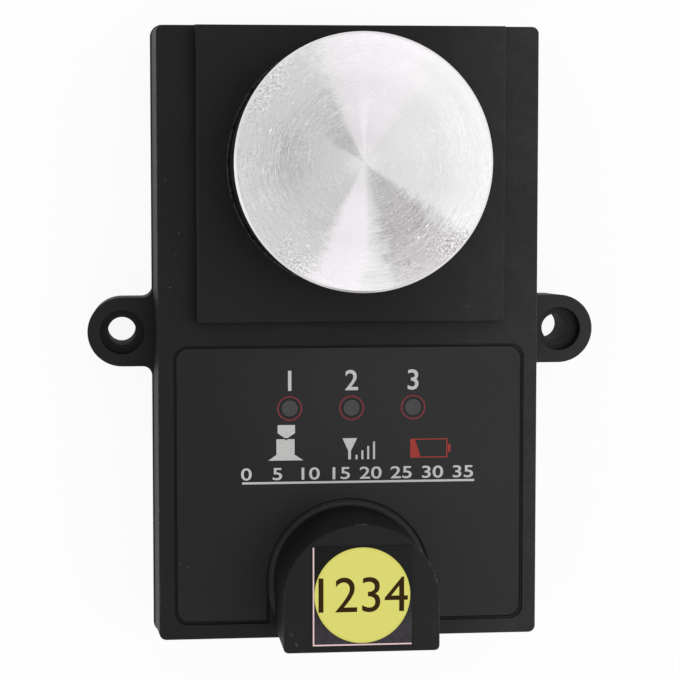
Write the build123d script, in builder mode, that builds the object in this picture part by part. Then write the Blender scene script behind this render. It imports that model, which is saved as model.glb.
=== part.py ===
from build123d import *
import os
from math import cos, radians, sin, sqrt, tan

# Tool setter, in millimetres. +Z is up and the contact disc faces it, the battery tower is at -Y.
# The origin is the centre of the case on the surface that it stands on.

# Lower case, measured at the parting plane
lower_width = 65.0
lower_length = 103.2
lower_height = 13.5
lower_draft = 1.5
corner_radius = 1.7
wall = 2.4
floor_thickness = 2.4
base_chamfer = 0.5
parting_round = 0.3

# Screw lugs
lug_overhang = 5.0
lug_radius = 5.85
lug_root_fillet = 1.9
lug_hole_radius = 2.4
lug_counterbore_radius = 3.75
lug_counterbore_depth = 2.7

# Upper case
upper_setback = 0.25
upper_height = 9.0
upper_draft = 3.5
top_thickness = 2.2
top_round = 0.4
pad_width = 51.1
pad_south_reach = 26.2
pad_rise = 3.9
pad_corner_radius = 0.7

# Rim seal between the two shells
groove_width = 1.2
groove_depth = 1.8
groove_inset = 1.4
tongue_height = 0.9
tongue_clearance = 0.1

# Case screws
case_screw_side = 6.0
case_screw_end = 6.1
case_screw_radius = 1.45
case_screw_length = 16.0
case_screw_head_radius = 2.75
case_screw_head_height = 2.2
case_screw_sink = 0.6
screw_clearance = 0.25
pilot_clearance = 0.05
socket_share = 0.55
column_wall = 1.1
boss_wall = 2.1

# Contact disc and its travel
disc_end = 23.5
disc_radius = 20.25
disc_thickness = 9.0
disc_edge_chamfer = 0.35
stroke = 5.0
landing_gap = 1.6

# Well and sliding cup
cup_radius = 19.7
cup_clearance = 0.3
cup_wall = 2.0
cup_web = 3.0
well_wall = 2.4
well_floor = 2.0
well_mouth_chamfer = 0.3
cup_floor_gap = 0.5
wiper_height = 1.6
wiper_depth = 1.4
wiper_below_pad = 0.8
wiper_lip_clearance = 0.08

# Stem, bush and stops
stem_radius = 4.0
stem_running_clearance = 0.02
stem_flange_radius = 6.5
stem_flange = 3.0
spigot_radius = 3.0
spigot_depth = 5.0
bush_wall = 1.5
bush_flange_radius = 7.0
bush_flange = 1.0
bush_overhang = 0.5
hub_wall = 2.0
hub_drop = 2.0
bumper_thickness = 0.7
running_gap = 0.3
stop_washer_thickness = 0.6
stop_washer_radius = 6.5
clip_thickness = 0.8
clip_radius = 6.2
clip_groove_depth = 0.6
stem_tail = 1.2

# Return spring
spring_radius = 9.5
spring_wire = 0.6
spring_turns = 5
spring_lip_gap = 0.45
spring_lip_wall = 1.2
spring_lip_height = 1.2

# Shutter pin and light barrier
pin_x = 13.5
pin_radius = 1.5
pin_clearance = 0.1
barrier_slot_clearance = 0.4
barrier_tower = 4.0
barrier_width = 6.0
barrier_base = 0.8
barrier_headroom = 0.7
barrier_lead_in = 0.5

# Disc screws, from below through the cup
disc_screw_circle = 14.5
disc_screw_count = 3
disc_screw_start = 60.0
disc_screw_radius = 1.45
disc_screw_length = 9.0
disc_screw_head_radius = 2.6
disc_screw_head_height = 1.8

# Circuit board
board_post_height = 0.8
board_post_radius = 3.0
board_thickness = 1.6
board_edge_gap = 0.8
board_cell_gap = 12.6
board_screw_side = 8.2
board_screw_margin = 5.5
board_screw_end = 17.6
board_screw_radius = 1.2
board_screw_length = 3.6
board_screw_head_radius = 2.2
board_screw_head_height = 1.4
board_stem_gap = 1.0

# Indicators
indicator_share = 0.383
indicator_pitch = 10.35
indicator_offset = 0.45
pipe_radius = 1.37
pipe_hole_clearance = 0.08
pipe_flange_radius = 2.3
pipe_flange = 1.2
led_length = 2.0
led_width = 1.3
led_height = 1.1

# Parts on the board
chip_size = 7.0
chip_height = 1.2
chip_x = -1.0
chip_reach = 27.1
chip_corner = 0.35
radio_length = 14.0
radio_width = 12.0
radio_board = 1.0
radio_shield_inset = 1.5
radio_shield = 2.4
radio_shield_corner = 1.0
radio_side = 14.5
radio_margin = 23.2
antenna_side = 11.5
antenna_margin = 17.0
antenna_radius = 2.4
antenna_wire = 0.4
antenna_turns = 5
antenna_height = 12.0

# Battery tower
tower_radius = 12.5
tower_flat = 8.1
tower_end_gap = 2.2
tower_rise = 17.1
tower_wall = 2.0
tower_round = 0.45
tower_corner_radius = 0.8

# Cell and contacts
cell_radius = 7.25
cell_length = 25.2
cell_nub_radius = 2.6
cell_nub = 1.0
cell_offset = 1.7
cell_guide_clearance = 0.35
cell_guide_wall = 1.4
cell_guide_top = 19.0
cell_window_width = 14.4
cell_window_sill = 9.0
cell_window_reach = 6.2
contact_thickness = 0.4
contact_width = 3.0
contact_drop_reach = 8.2
contact_step_z = 13.0
contact_foot_reach = 15.1
contact_foot = 1.5
side_contact_x = 5.0
side_contact_width = 2.0
side_contact_z = 15.5
side_contact_gap = 0.2

# Battery door
door_length = 34.0
door_width = 19.0
door_thickness = 1.6
door_sink = 0.2
door_side_gap = 0.3
door_seal_thickness = 0.6
door_roof = 2.0
door_roof_margin = 1.6
door_plug_gap = 0.4
door_plug_top = 6.0
door_screw_x = 13.2
door_screw_radius = 1.2
door_screw_length = 7.0
door_screw_head_radius = 2.3
door_screw_head_height = 1.1
door_screw_sink = 0.15
door_boss_radius = 3.0
door_boss_top = 9.0
cell_spring_radius = 4.6
cell_spring_wire = 0.45
cell_spring_turns = 3

# Labels
label_west_margin = 3.65
label_east_margin = 3.4
label_pad_gap = 3.95
label_end_margin = 3.6
label_corner_radius = 2.2
label_thickness = 0.3
label_recess_depth = 0.5
label_edge_gap = 0.35
label_tower_gap = 1.15
tower_label_size = 15.9
tower_label_offset = 1.0
tower_label_thickness = 0.2
sticker_radius = 7.65
sticker_offset = 1.15
sticker_thickness = 0.12

# Worked-out places, from the ends and sides of the case
disc_y = lower_length / 2 - disc_end
pad_south_y = disc_y - pad_south_reach
tower_south_y = tower_end_gap - lower_length / 2
tower_y = tower_south_y + tower_flat
tower_label_y = tower_y + tower_label_offset
sticker_y = tower_y + sticker_offset
cell_y = tower_y + cell_offset
cell_window_y = cell_y + cell_window_reach
contact_drop_y = cell_y + contact_drop_reach
contact_foot_y = cell_y + contact_foot_reach
board_south_y = cell_y + board_cell_gap
label_west_x = label_west_margin - lower_width / 2
label_east_x = lower_width / 2 - label_east_margin
label_north_y = pad_south_y - label_pad_gap
label_south_y = label_end_margin - lower_length / 2
indicator_y = label_north_y - indicator_share * (label_north_y - tower_y - tower_radius)
chip_y = disc_y - chip_reach
radio_x = lower_width / 2 - radio_side
radio_y = board_south_y + radio_margin
antenna_x = antenna_side - lower_width / 2
antenna_y = board_south_y + antenna_margin
case_screw_x = lower_width / 2 - case_screw_side
case_screw_y = lower_length / 2 - case_screw_end
board_screw_x = lower_width / 2 - board_screw_side
board_screw_south_y = board_south_y + board_screw_margin
board_screw_north_y = lower_length / 2 - board_screw_end
lug_pitch = lower_width + 2 * lug_overhang

# Worked-out sizes of the case
base_width = lower_width - 2 * lower_height * tan(radians(lower_draft))
base_length = lower_length - 2 * lower_height * tan(radians(lower_draft))
lug_base_radius = lug_radius - lower_height * tan(radians(lower_draft))
upper_width = lower_width - 2 * upper_setback
upper_length = lower_length - 2 * upper_setback
cavity_width = base_width - 2 * wall
cavity_length = base_length - 2 * wall
top_z = lower_height + upper_height
pad_top = top_z + pad_rise
tower_top = top_z + tower_rise
upper_inset = upper_height * tan(radians(upper_draft))
rim_width = lower_width - 2 * groove_inset
rim_length = lower_length - 2 * groove_inset
case_screw_points = [(x, y) for x in (-case_screw_x, case_screw_x) for y in (-case_screw_y, case_screw_y)]
case_screw_seat = case_screw_sink + case_screw_head_height

# Worked-out heights of the plunger
disc_bottom = pad_top + stroke + landing_gap
disc_top = disc_bottom + disc_thickness
web_bottom = disc_bottom - cup_web
well_floor_top = lower_height + well_floor
cup_bottom = well_floor_top + stroke + cup_floor_gap
well_radius = cup_radius + cup_clearance
wiper_bottom = pad_top - wiper_below_pad - wiper_height
stem_flange_bottom = web_bottom - stem_flange
bush_top = stem_flange_bottom - stroke - running_gap - bumper_thickness
hub_top = bush_top - bush_flange
hub_bottom = lower_height - hub_drop
bush_bottom = hub_bottom - bush_overhang
bush_bore = stem_radius + stem_running_clearance
bush_radius = bush_bore + bush_wall
stop_washer_top = bush_bottom - running_gap
clip_top = stop_washer_top - stop_washer_thickness
stem_bottom = clip_top - clip_thickness - stem_tail

# Worked-out heights of the board and the pin
board_bottom = floor_thickness + board_post_height
board_top = board_bottom + board_thickness
board_screw_points = [
    (x, y) for x in (-board_screw_x, board_screw_x) for y in (board_screw_south_y, board_screw_north_y)
]
pin_bottom = board_top + barrier_base + stroke + barrier_slot_clearance
indicator_points = [(indicator_offset + i * indicator_pitch, indicator_y) for i in (-1, 0, 1)]

# Worked-out places of the cell and its door
cell_top = tower_top - tower_wall - contact_thickness
cell_bottom = cell_top - cell_length
cell_guide_radius = cell_radius + cell_guide_clearance
door_recess = door_sink + door_thickness + door_seal_thickness
door_screw_points = [(-door_screw_x, cell_y), (door_screw_x, cell_y)]
side_contact_reach = side_contact_x - side_contact_width / 2
side_contact_tip_y = cell_y + sqrt(cell_radius**2 - side_contact_reach**2) + side_contact_gap
side_contact_tip_y += contact_thickness / 2

# Places of the three screws under the disc
disc_screw_turns = [radians(disc_screw_start + i * 360 / disc_screw_count) for i in range(disc_screw_count)]
disc_screw_points = [
    (disc_screw_circle * cos(turn), disc_y + disc_screw_circle * sin(turn)) for turn in disc_screw_turns
]

# Plane and axis that the turned pieces share
disc_section = Plane(origin=(0, disc_y, 0), x_dir=(1, 0, 0), z_dir=(0, -1, 0))
disc_axis = Axis((0, disc_y, 0), (0, 0, 1))


def level(height, x=0.0, y=0.0):
    """Plane that faces up at a height, centred on a point of the plan."""
    return Plane(origin=(x, y, height), z_dir=(0, 0, 1))


def profile(*points):
    """Closed section through (radius, height) points."""
    with BuildSketch() as section:
        with BuildLine():
            Polyline(*points, close=True)
        make_face()
    return section.sketch


def turned(*points):
    """Piece turned about the disc's axis from its (radius, height) points."""
    with BuildPart() as piece:
        with BuildSketch(disc_section):
            add(profile(*points))
        revolve(axis=disc_axis)
    return piece


def screws(points, seat_z, head_up, shank_radius, length, head_radius, head_height):
    """Socket-head screws at points of the plan, their heads above or below the seat."""
    side = 1 if head_up else -1
    with BuildPart() as pieces:
        for x, y in points:
            seat = Plane(origin=(x, y, seat_z), z_dir=(0, 0, side))
            with BuildSketch(seat):
                Circle(head_radius)
            extrude(amount=head_height)
            with BuildSketch(seat):
                Circle(shank_radius)
            extrude(amount=-length)
            with BuildSketch(seat.offset(head_height)):
                RegularPolygon(radius=socket_share * head_radius, side_count=6)
            extrude(amount=-head_height / 2, mode=Mode.SUBTRACT)
    return pieces


def coil(x, y, bottom, top, radius, wire, turns):
    """Helical spring whose wire just reaches from one seat to the other."""
    rise = top - bottom - 2 * wire
    with BuildPart() as piece:
        with BuildLine(level(bottom + wire, x, y)) as turns_line:
            Helix(pitch=rise / turns, height=rise, radius=radius)
        with BuildSketch(Plane(origin=turns_line.line @ 0, z_dir=turns_line.line % 0)):
            Circle(wire)
        sweep(path=turns_line.line, is_frenet=True)
    return piece


def tower_outline(inset):
    """D-shaped section of the battery tower, moved in by an inset from its outside."""
    radius = tower_radius - inset
    south_y = tower_south_y + inset
    with BuildSketch() as section:
        with BuildLine():
            Polyline((-radius, tower_y), (-radius, south_y), (radius, south_y), (radius, tower_y))
            ThreePointArc((radius, tower_y), (0, tower_y + radius), (-radius, tower_y))
        make_face()
        fillet(section.vertices().group_by(Axis.Y)[0], radius=tower_corner_radius)
    return section.sketch


def label_outline(inset):
    """Front label's outline, with its cut-out round the battery tower, moved in by an inset."""
    tower_cut = tower_radius + label_tower_gap - label_edge_gap + inset
    with BuildSketch() as section:
        with Locations(((label_west_x + label_east_x) / 2, (label_north_y + label_south_y) / 2)):
            RectangleRounded(
                label_east_x - label_west_x + 2 * (label_edge_gap - inset),
                label_north_y - label_south_y + 2 * (label_edge_gap - inset),
                label_corner_radius,
            )
        with Locations((0, tower_y)):
            Circle(tower_cut, mode=Mode.SUBTRACT)
        with Locations((0, (tower_y + label_south_y) / 2 - label_edge_gap)):
            Rectangle(2 * tower_cut, tower_y - label_south_y + 2 * label_edge_gap, mode=Mode.SUBTRACT)
    return section.sketch


def door_outline(offset):
    """Obround outline of the battery door, moved out by an offset."""
    with BuildSketch() as section:
        with Locations((0, cell_y)):
            SlotOverall(door_length + 2 * offset, door_width + 2 * offset)
    return section.sketch


def strip(x, width, points):
    """Spring strip bent along (y, height) points in a plane across the case."""
    with BuildPart() as piece:
        with BuildSketch(Plane(origin=(x, 0, 0), x_dir=(0, 1, 0), z_dir=(1, 0, 0))):
            with BuildLine() as path:
                Polyline(*points)
            trace(path.line, line_width=contact_thickness)
        extrude(amount=width / 2, both=True)
    return piece


# Lower case: drafted tray with two lugs, screw columns, board posts and the cell's guide
with BuildPart() as lower_case:
    with BuildSketch() as lower_outline:
        RectangleRounded(base_width, base_length, corner_radius)
        with Locations((-lug_pitch / 2, 0), (lug_pitch / 2, 0)):
            Circle(lug_base_radius)
        Rectangle(lug_pitch, 2 * lug_base_radius)
        lug_roots = [v for v in lower_outline.vertices() if abs(v.Y) < 1.1 * lug_radius and abs(v.X) < lug_pitch / 2]
        fillet([v for v in lug_roots if abs(v.X) > 0.9 * base_width / 2], radius=lug_root_fillet)
    extrude(amount=lower_height, taper=-lower_draft)
    fillet(lower_case.edges().group_by(Axis.Z)[-1], radius=parting_round)
    chamfer(lower_case.edges().group_by(Axis.Z)[0], length=base_chamfer)
    with BuildSketch(level(floor_thickness)):
        RectangleRounded(cavity_width, cavity_length, corner_radius)
    extrude(amount=lower_height, mode=Mode.SUBTRACT)
    with BuildSketch(level(0)):
        with Locations(*case_screw_points):
            Circle(case_screw_head_radius + screw_clearance + column_wall)
    extrude(amount=lower_height)
    with BuildSketch(level(floor_thickness)):
        with Locations(*board_screw_points):
            Circle(board_post_radius)
    extrude(amount=board_post_height)
    with BuildSketch(level(floor_thickness / 2)):
        add(door_outline(door_side_gap + door_roof_margin))
    extrude(amount=door_recess + door_roof - floor_thickness / 2)
    with BuildSketch(level(floor_thickness)):
        with Locations(*door_screw_points):
            Circle(door_boss_radius)
    extrude(amount=door_boss_top - floor_thickness)
    with BuildSketch(level(floor_thickness)):
        with Locations((0, cell_y)):
            Circle(cell_guide_radius + cell_guide_wall)
    extrude(amount=cell_guide_top - floor_thickness)
    with BuildSketch(level(cell_window_sill)):
        with Locations((0, cell_window_y + tower_radius / 2)):
            Rectangle(cell_window_width, tower_radius)
    extrude(amount=cell_guide_top, mode=Mode.SUBTRACT)
    with BuildSketch(level(0)):
        add(door_outline(door_side_gap))
    extrude(amount=door_recess, mode=Mode.SUBTRACT)
    with BuildSketch(level(0)):
        with Locations((0, cell_y)):
            Circle(cell_guide_radius)
    extrude(amount=cell_guide_top, mode=Mode.SUBTRACT)
    with BuildSketch(level(door_recess)):
        with Locations(*door_screw_points):
            Circle(door_screw_radius + pilot_clearance)
    extrude(amount=door_screw_length, mode=Mode.SUBTRACT)
    with BuildSketch(level(board_bottom)):
        with Locations(*board_screw_points):
            Circle(board_screw_radius + pilot_clearance)
    extrude(amount=board_thickness - board_screw_length - pilot_clearance, mode=Mode.SUBTRACT)
    with Locations(*[Plane(origin=(x, y, 0), z_dir=(0, 0, -1)) for x, y in case_screw_points]):
        CounterBoreHole(
            radius=case_screw_radius + screw_clearance,
            counter_bore_radius=case_screw_head_radius + screw_clearance,
            counter_bore_depth=case_screw_seat,
            depth=lower_height,
        )
    with Locations((-lug_pitch / 2, 0, lower_height), (lug_pitch / 2, 0, lower_height)):
        CounterBoreHole(
            radius=lug_hole_radius,
            counter_bore_radius=lug_counterbore_radius,
            counter_bore_depth=lug_counterbore_depth,
            depth=lower_height,
        )
    with BuildSketch(level(lower_height)):
        RectangleRounded(rim_width + groove_width, rim_length + groove_width, corner_radius)
        RectangleRounded(
            rim_width - groove_width, rim_length - groove_width, corner_radius - groove_width, mode=Mode.SUBTRACT
        )
    extrude(amount=-groove_depth, mode=Mode.SUBTRACT)

# Upper case: drafted lid with the pad, the disc's well, the battery tower and the rim tongue
with BuildPart() as upper_case:
    with BuildSketch(level(lower_height)):
        RectangleRounded(upper_width, upper_length, corner_radius)
    extrude(amount=upper_height, taper=upper_draft)
    fillet(upper_case.edges().group_by(Axis.Z)[-1], radius=top_round)
    pad_foot_drop = 2 * top_round
    pad_foot_spread = pad_foot_drop * tan(radians(upper_draft))
    pad_north_y = upper_length / 2 - upper_inset + pad_foot_spread
    with BuildSketch(level(top_z - pad_foot_drop, 0, (pad_south_y + pad_north_y) / 2)) as pad_outline:
        Rectangle(pad_width + 2 * pad_foot_spread, pad_north_y - pad_south_y)
        fillet(pad_outline.vertices().group_by(Axis.Y)[0], radius=pad_corner_radius)
    extrude(amount=pad_rise + pad_foot_drop, taper=upper_draft)
    fillet(upper_case.edges().group_by(Axis.Z)[-1], radius=top_round)
    with BuildSketch(level(top_z)):
        add(tower_outline(0))
    extrude(amount=tower_rise)
    fillet(upper_case.edges().group_by(Axis.Z)[-1], radius=tower_round)
    with BuildSketch(level(lower_height)):
        RectangleRounded(cavity_width, cavity_length, corner_radius)
    extrude(amount=upper_height - top_thickness, mode=Mode.SUBTRACT)
    pad_pocket_north = cavity_length / 2
    pad_pocket_south = pad_south_y + wall
    with BuildSketch(level(lower_height, 0, (pad_pocket_north + pad_pocket_south) / 2)):
        Rectangle(pad_width - 2 * wall, pad_pocket_north - pad_pocket_south)
    extrude(amount=pad_top - top_thickness - lower_height, mode=Mode.SUBTRACT)
    with BuildSketch(level(lower_height)):
        add(tower_outline(tower_wall))
    extrude(amount=tower_top - tower_wall - lower_height, mode=Mode.SUBTRACT)
    with BuildSketch(level(lower_height)):
        with Locations((0, disc_y)):
            Circle(well_radius + well_wall)
    extrude(amount=pad_top - top_thickness / 2 - lower_height)
    with BuildSketch(level(lower_height)):
        with Locations(*case_screw_points):
            Circle(case_screw_radius + boss_wall)
    extrude(amount=upper_height - top_thickness / 2)
    with BuildSketch(level(well_floor_top, 0, disc_y)):
        Circle(well_radius)
    extrude(amount=pad_top, mode=Mode.SUBTRACT)
    with BuildSketch(level(wiper_bottom, 0, disc_y)):
        Circle(well_radius + wiper_depth)
    extrude(amount=wiper_height, mode=Mode.SUBTRACT)
    well_mouth = [
        e for e in upper_case.edges().filter_by(GeomType.CIRCLE)
        if abs(e.radius - well_radius) < cup_clearance / 2 and abs(e.center().Z - pad_top) < top_round
    ]
    chamfer(well_mouth, length=well_mouth_chamfer)
    with BuildSketch(level(hub_bottom, 0, disc_y)):
        Circle(bush_radius + hub_wall)
    extrude(amount=hub_top - hub_bottom)
    with BuildSketch(level(hub_bottom, 0, disc_y)):
        Circle(bush_radius)
    extrude(amount=hub_top - hub_bottom, mode=Mode.SUBTRACT)
    with BuildSketch(level(lower_height, pin_x, disc_y)):
        Circle(pin_radius + pin_clearance)
    extrude(amount=well_floor, mode=Mode.SUBTRACT)
    with BuildSketch(level(lower_height)):
        with Locations(*case_screw_points):
            Circle(case_screw_radius + pilot_clearance)
    extrude(amount=case_screw_length + case_screw_seat - lower_height + pilot_clearance, mode=Mode.SUBTRACT)
    with BuildSketch(level(lower_height - tongue_height)):
        tongue_width = groove_width - 2 * tongue_clearance
        RectangleRounded(rim_width + tongue_width, rim_length + tongue_width, corner_radius)
        RectangleRounded(
            rim_width - tongue_width, rim_length - tongue_width, corner_radius - tongue_width, mode=Mode.SUBTRACT
        )
    extrude(amount=tongue_height + parting_round)
    with BuildSketch(level(top_z - label_recess_depth)):
        add(label_outline(0))
    extrude(amount=upper_height, mode=Mode.SUBTRACT)
    with BuildSketch(level(top_z)):
        with Locations(*indicator_points):
            Circle(pipe_radius + pipe_hole_clearance)
    extrude(amount=-upper_height, mode=Mode.SUBTRACT)

# Rim gasket: fills the bottom of the groove under the tongue
with BuildPart() as case_gasket:
    with BuildSketch(level(lower_height - groove_depth)):
        RectangleRounded(rim_width + groove_width, rim_length + groove_width, corner_radius)
        RectangleRounded(
            rim_width - groove_width, rim_length - groove_width, corner_radius - groove_width, mode=Mode.SUBTRACT
        )
    extrude(amount=groove_depth - tongue_height)

# Case screws: driven up from the base into the lid's bosses
case_screws = screws(
    case_screw_points, case_screw_seat, False, case_screw_radius, case_screw_length,
    case_screw_head_radius, case_screw_head_height,
)

# Contact disc: turned, with a blind hole for the stem's spigot and tapped holes for the cup's screws
disc_screw_hole_depth = disc_screw_length - cup_web + pilot_clearance
with BuildPart() as contact_disc:
    with BuildSketch(disc_section):
        add(profile(
            (0, disc_bottom + spigot_depth),
            (spigot_radius, disc_bottom + spigot_depth),
            (spigot_radius, disc_bottom),
            (disc_radius - disc_edge_chamfer, disc_bottom),
            (disc_radius, disc_bottom + disc_edge_chamfer),
            (disc_radius, disc_top - disc_edge_chamfer),
            (disc_radius - disc_edge_chamfer, disc_top),
            (0, disc_top),
        ))
    revolve(axis=disc_axis)
    with BuildSketch(level(disc_bottom)):
        with Locations(*disc_screw_points):
            Circle(disc_screw_radius + pilot_clearance)
    extrude(amount=disc_screw_hole_depth, mode=Mode.SUBTRACT)

# Plunger cup: sliding sleeve with a web under the disc and a lip round the spring
lip_inner = spring_radius + spring_wire + spring_lip_gap
lip_outer = lip_inner + spring_lip_wall
with BuildPart() as plunger_cup:
    with BuildSketch(disc_section):
        add(profile(
            (spigot_radius, disc_bottom),
            (cup_radius, disc_bottom),
            (cup_radius, cup_bottom),
            (cup_radius - cup_wall, cup_bottom),
            (cup_radius - cup_wall, web_bottom),
            (lip_outer, web_bottom),
            (lip_outer, web_bottom - spring_lip_height),
            (lip_inner, web_bottom - spring_lip_height),
            (lip_inner, web_bottom),
            (spigot_radius, web_bottom),
        ))
    revolve(axis=disc_axis)
    with BuildSketch(level(web_bottom)):
        with Locations(*disc_screw_points):
            Circle(disc_screw_radius + screw_clearance)
        with Locations((pin_x, disc_y)):
            Circle(pin_radius)
    extrude(amount=cup_web, mode=Mode.SUBTRACT)

# Disc screws: heads under the cup's web
disc_screws = screws(
    disc_screw_points, web_bottom, False, disc_screw_radius, disc_screw_length,
    disc_screw_head_radius, disc_screw_head_height,
)

# Stem: spigot in the disc, flange under the web, shank in the bush, groove for the clip
clip_bottom = clip_top - clip_thickness
groove_radius = stem_radius - clip_groove_depth
plunger_stem = turned(
    (0, stem_bottom),
    (stem_radius, stem_bottom),
    (stem_radius, clip_bottom),
    (groove_radius, clip_bottom),
    (groove_radius, clip_top),
    (stem_radius, clip_top),
    (stem_radius, stem_flange_bottom),
    (stem_flange_radius, stem_flange_bottom),
    (stem_flange_radius, web_bottom),
    (spigot_radius, web_bottom),
    (spigot_radius, disc_bottom + spigot_depth),
    (0, disc_bottom + spigot_depth),
)

# Guide bush: flanged sleeve pressed into the hub
guide_bush = turned(
    (bush_bore, bush_bottom),
    (bush_radius, bush_bottom),
    (bush_radius, hub_top),
    (bush_flange_radius, hub_top),
    (bush_flange_radius, bush_top),
    (bush_bore, bush_top),
)

# Bumper: soft ring on the bush that the stem's flange lands on
stop_bumper = turned(
    (stem_radius + running_gap, bush_top),
    (stem_flange_radius, bush_top),
    (stem_flange_radius, bush_top + bumper_thickness),
    (stem_radius + running_gap, bush_top + bumper_thickness),
)

# Stop washer: held up against the bush by the clip
stop_washer = turned(
    (stem_radius + pilot_clearance, clip_top),
    (stop_washer_radius, clip_top),
    (stop_washer_radius, stop_washer_top),
    (stem_radius + pilot_clearance, stop_washer_top),
)

# Stem clip: open ring snapped into the stem's groove
with BuildPart() as stem_clip:
    with BuildSketch(level(clip_bottom, 0, disc_y)):
        Circle(clip_radius)
        Circle(groove_radius, mode=Mode.SUBTRACT)
        with Locations((0, -clip_radius)):
            Rectangle(groove_radius, 2 * clip_radius, mode=Mode.SUBTRACT)
    extrude(amount=clip_thickness)

# Return spring: from the well's floor to the cup's web, round the hub
return_spring = coil(0, disc_y, well_floor_top, web_bottom, spring_radius, spring_wire, spring_turns)

# Wiper seal: ring in the well's groove whose lip rides on the cup
wiper_lip = cup_radius + wiper_lip_clearance
wiper_seal = turned(
    (wiper_lip, wiper_bottom + wiper_height / 2),
    (well_radius, wiper_bottom),
    (well_radius + wiper_depth, wiper_bottom),
    (well_radius + wiper_depth, wiper_bottom + wiper_height),
    (wiper_lip, wiper_bottom + wiper_height),
)

# Shutter pin: pressed into the web, slides through the well's floor into the light barrier
with BuildPart() as shutter_pin:
    with BuildSketch(level(pin_bottom, pin_x, disc_y)):
        Circle(pin_radius)
    extrude(amount=disc_bottom - pin_bottom)

# Light barrier: base with two towers that the pin's tip passes between
barrier_slot = 2 * (pin_radius + barrier_slot_clearance)
with BuildPart() as optical_sensor:
    with BuildSketch(level(board_top, pin_x, disc_y)):
        Rectangle(barrier_width, barrier_slot + 2 * barrier_tower)
    extrude(amount=lower_height - barrier_headroom - board_top)
    with BuildSketch(level(board_top + barrier_base, pin_x, disc_y)):
        Rectangle(barrier_width, barrier_slot)
    extrude(amount=lower_height, mode=Mode.SUBTRACT)
    chamfer(optical_sensor.edges().group_by(Axis.Z)[-1].filter_by(Axis.X), length=barrier_lead_in)

# Main board: on four posts, open round the stem and the screw columns
board_width = cavity_width - 2 * board_edge_gap
board_north_y = cavity_length / 2 - board_edge_gap
column_radius = case_screw_head_radius + screw_clearance + column_wall
with BuildPart() as main_board:
    with BuildSketch(level(board_bottom)):
        with Locations((0, (board_north_y + board_south_y) / 2)):
            RectangleRounded(board_width, board_north_y - board_south_y, corner_radius)
        with Locations((0, disc_y)):
            Circle(stop_washer_radius + board_stem_gap, mode=Mode.SUBTRACT)
        with Locations(*case_screw_points):
            Circle(column_radius + board_edge_gap, mode=Mode.SUBTRACT)
        with Locations(*board_screw_points):
            Circle(board_screw_radius + screw_clearance, mode=Mode.SUBTRACT)
    extrude(amount=board_thickness)

# Board screws
board_screws = screws(
    board_screw_points, board_top, True, board_screw_radius, board_screw_length,
    board_screw_head_radius, board_screw_head_height,
)

# Indicator lamps on the board
with BuildPart() as indicator_leds:
    with BuildSketch(level(board_top)):
        with Locations(*indicator_points):
            Rectangle(led_length, led_width)
    extrude(amount=led_height)

# Light pipes: from just above each lamp to the label's face, held by a flange under the lid
light_pipes = []
pipe_shoulder = top_z - top_thickness
for x, y in indicator_points:
    with BuildPart() as light_pipe:
        with BuildSketch(level(board_top + led_height + running_gap, x, y)):
            Circle(pipe_radius)
        extrude(amount=top_z - label_recess_depth + label_thickness - board_top - led_height - running_gap)
        with BuildSketch(level(pipe_shoulder - pipe_flange, x, y)):
            Circle(pipe_flange_radius)
        extrude(amount=pipe_flange)
    light_pipes.append(light_pipe)

# Controller chip
with BuildPart() as controller_chip:
    with BuildSketch(level(board_top, chip_x, chip_y)):
        Rectangle(chip_size, chip_size)
    extrude(amount=chip_height)
    chamfer(controller_chip.edges().filter_by(Axis.Z), length=chip_corner)

# Radio module: small board with a shield can
with BuildPart() as radio_module:
    with BuildSketch(level(board_top, radio_x, radio_y)):
        Rectangle(radio_width, radio_length)
    extrude(amount=radio_board)
    with BuildSketch(level(board_top + radio_board, radio_x, radio_y)):
        RectangleRounded(radio_width - 2 * radio_shield_inset, radio_length - 2 * radio_shield_inset, radio_shield_corner)
    extrude(amount=radio_shield)

# Antenna: upright coil that stands on the board
antenna_top = board_top + antenna_height
antenna = coil(antenna_x, antenna_y, board_top, antenna_top, antenna_radius, antenna_wire, antenna_turns)

# Cell: can with its raised end, standing in the tower
with BuildPart() as battery:
    with BuildSketch(level(cell_bottom, 0, cell_y)):
        Circle(cell_radius)
    extrude(amount=cell_length - cell_nub)
    fillet(battery.edges().filter_by(GeomType.CIRCLE), radius=cell_nub / 2)
    with BuildSketch(level(cell_bottom, 0, cell_y)):
        Circle(cell_nub_radius)
    extrude(amount=cell_length)

# Top contact: strip under the tower's roof, down to the board
strip_half = contact_thickness / 2
positive_contact = strip(0, contact_width, [
    (cell_y - cell_nub_radius, cell_top + strip_half),
    (contact_drop_y, cell_top + strip_half),
    (contact_drop_y, contact_step_z),
    (contact_foot_y - contact_foot, contact_step_z),
    (contact_foot_y - contact_foot, board_top + strip_half),
    (contact_foot_y, board_top + strip_half),
])

# Side contact: leaf that bears on the can
negative_contact = strip(side_contact_x, side_contact_width, [
    (contact_foot_y, board_top + strip_half),
    (contact_foot_y - contact_foot, board_top + strip_half),
    (contact_foot_y - contact_foot, side_contact_z),
    (side_contact_tip_y, side_contact_z),
    (side_contact_tip_y, side_contact_z - contact_foot),
])

# Battery door: obround plate with a plug, held by two countersunk screws
door_plate_top = door_sink + door_thickness
with BuildPart() as battery_door:
    with BuildSketch(level(door_sink)):
        add(door_outline(0))
    extrude(amount=door_thickness)
    with BuildSketch(level(door_plate_top, 0, cell_y)):
        Circle(cell_guide_radius - door_plug_gap)
    extrude(amount=door_plug_top - door_plate_top)
    with Locations(*[Plane(origin=(x, y, door_sink), z_dir=(0, 0, -1)) for x, y in door_screw_points]):
        CounterSinkHole(
            radius=door_screw_radius + pilot_clearance,
            counter_sink_radius=door_screw_head_radius + door_screw_sink + pilot_clearance,
            depth=door_thickness,
            counter_sink_angle=90,
        )

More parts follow.
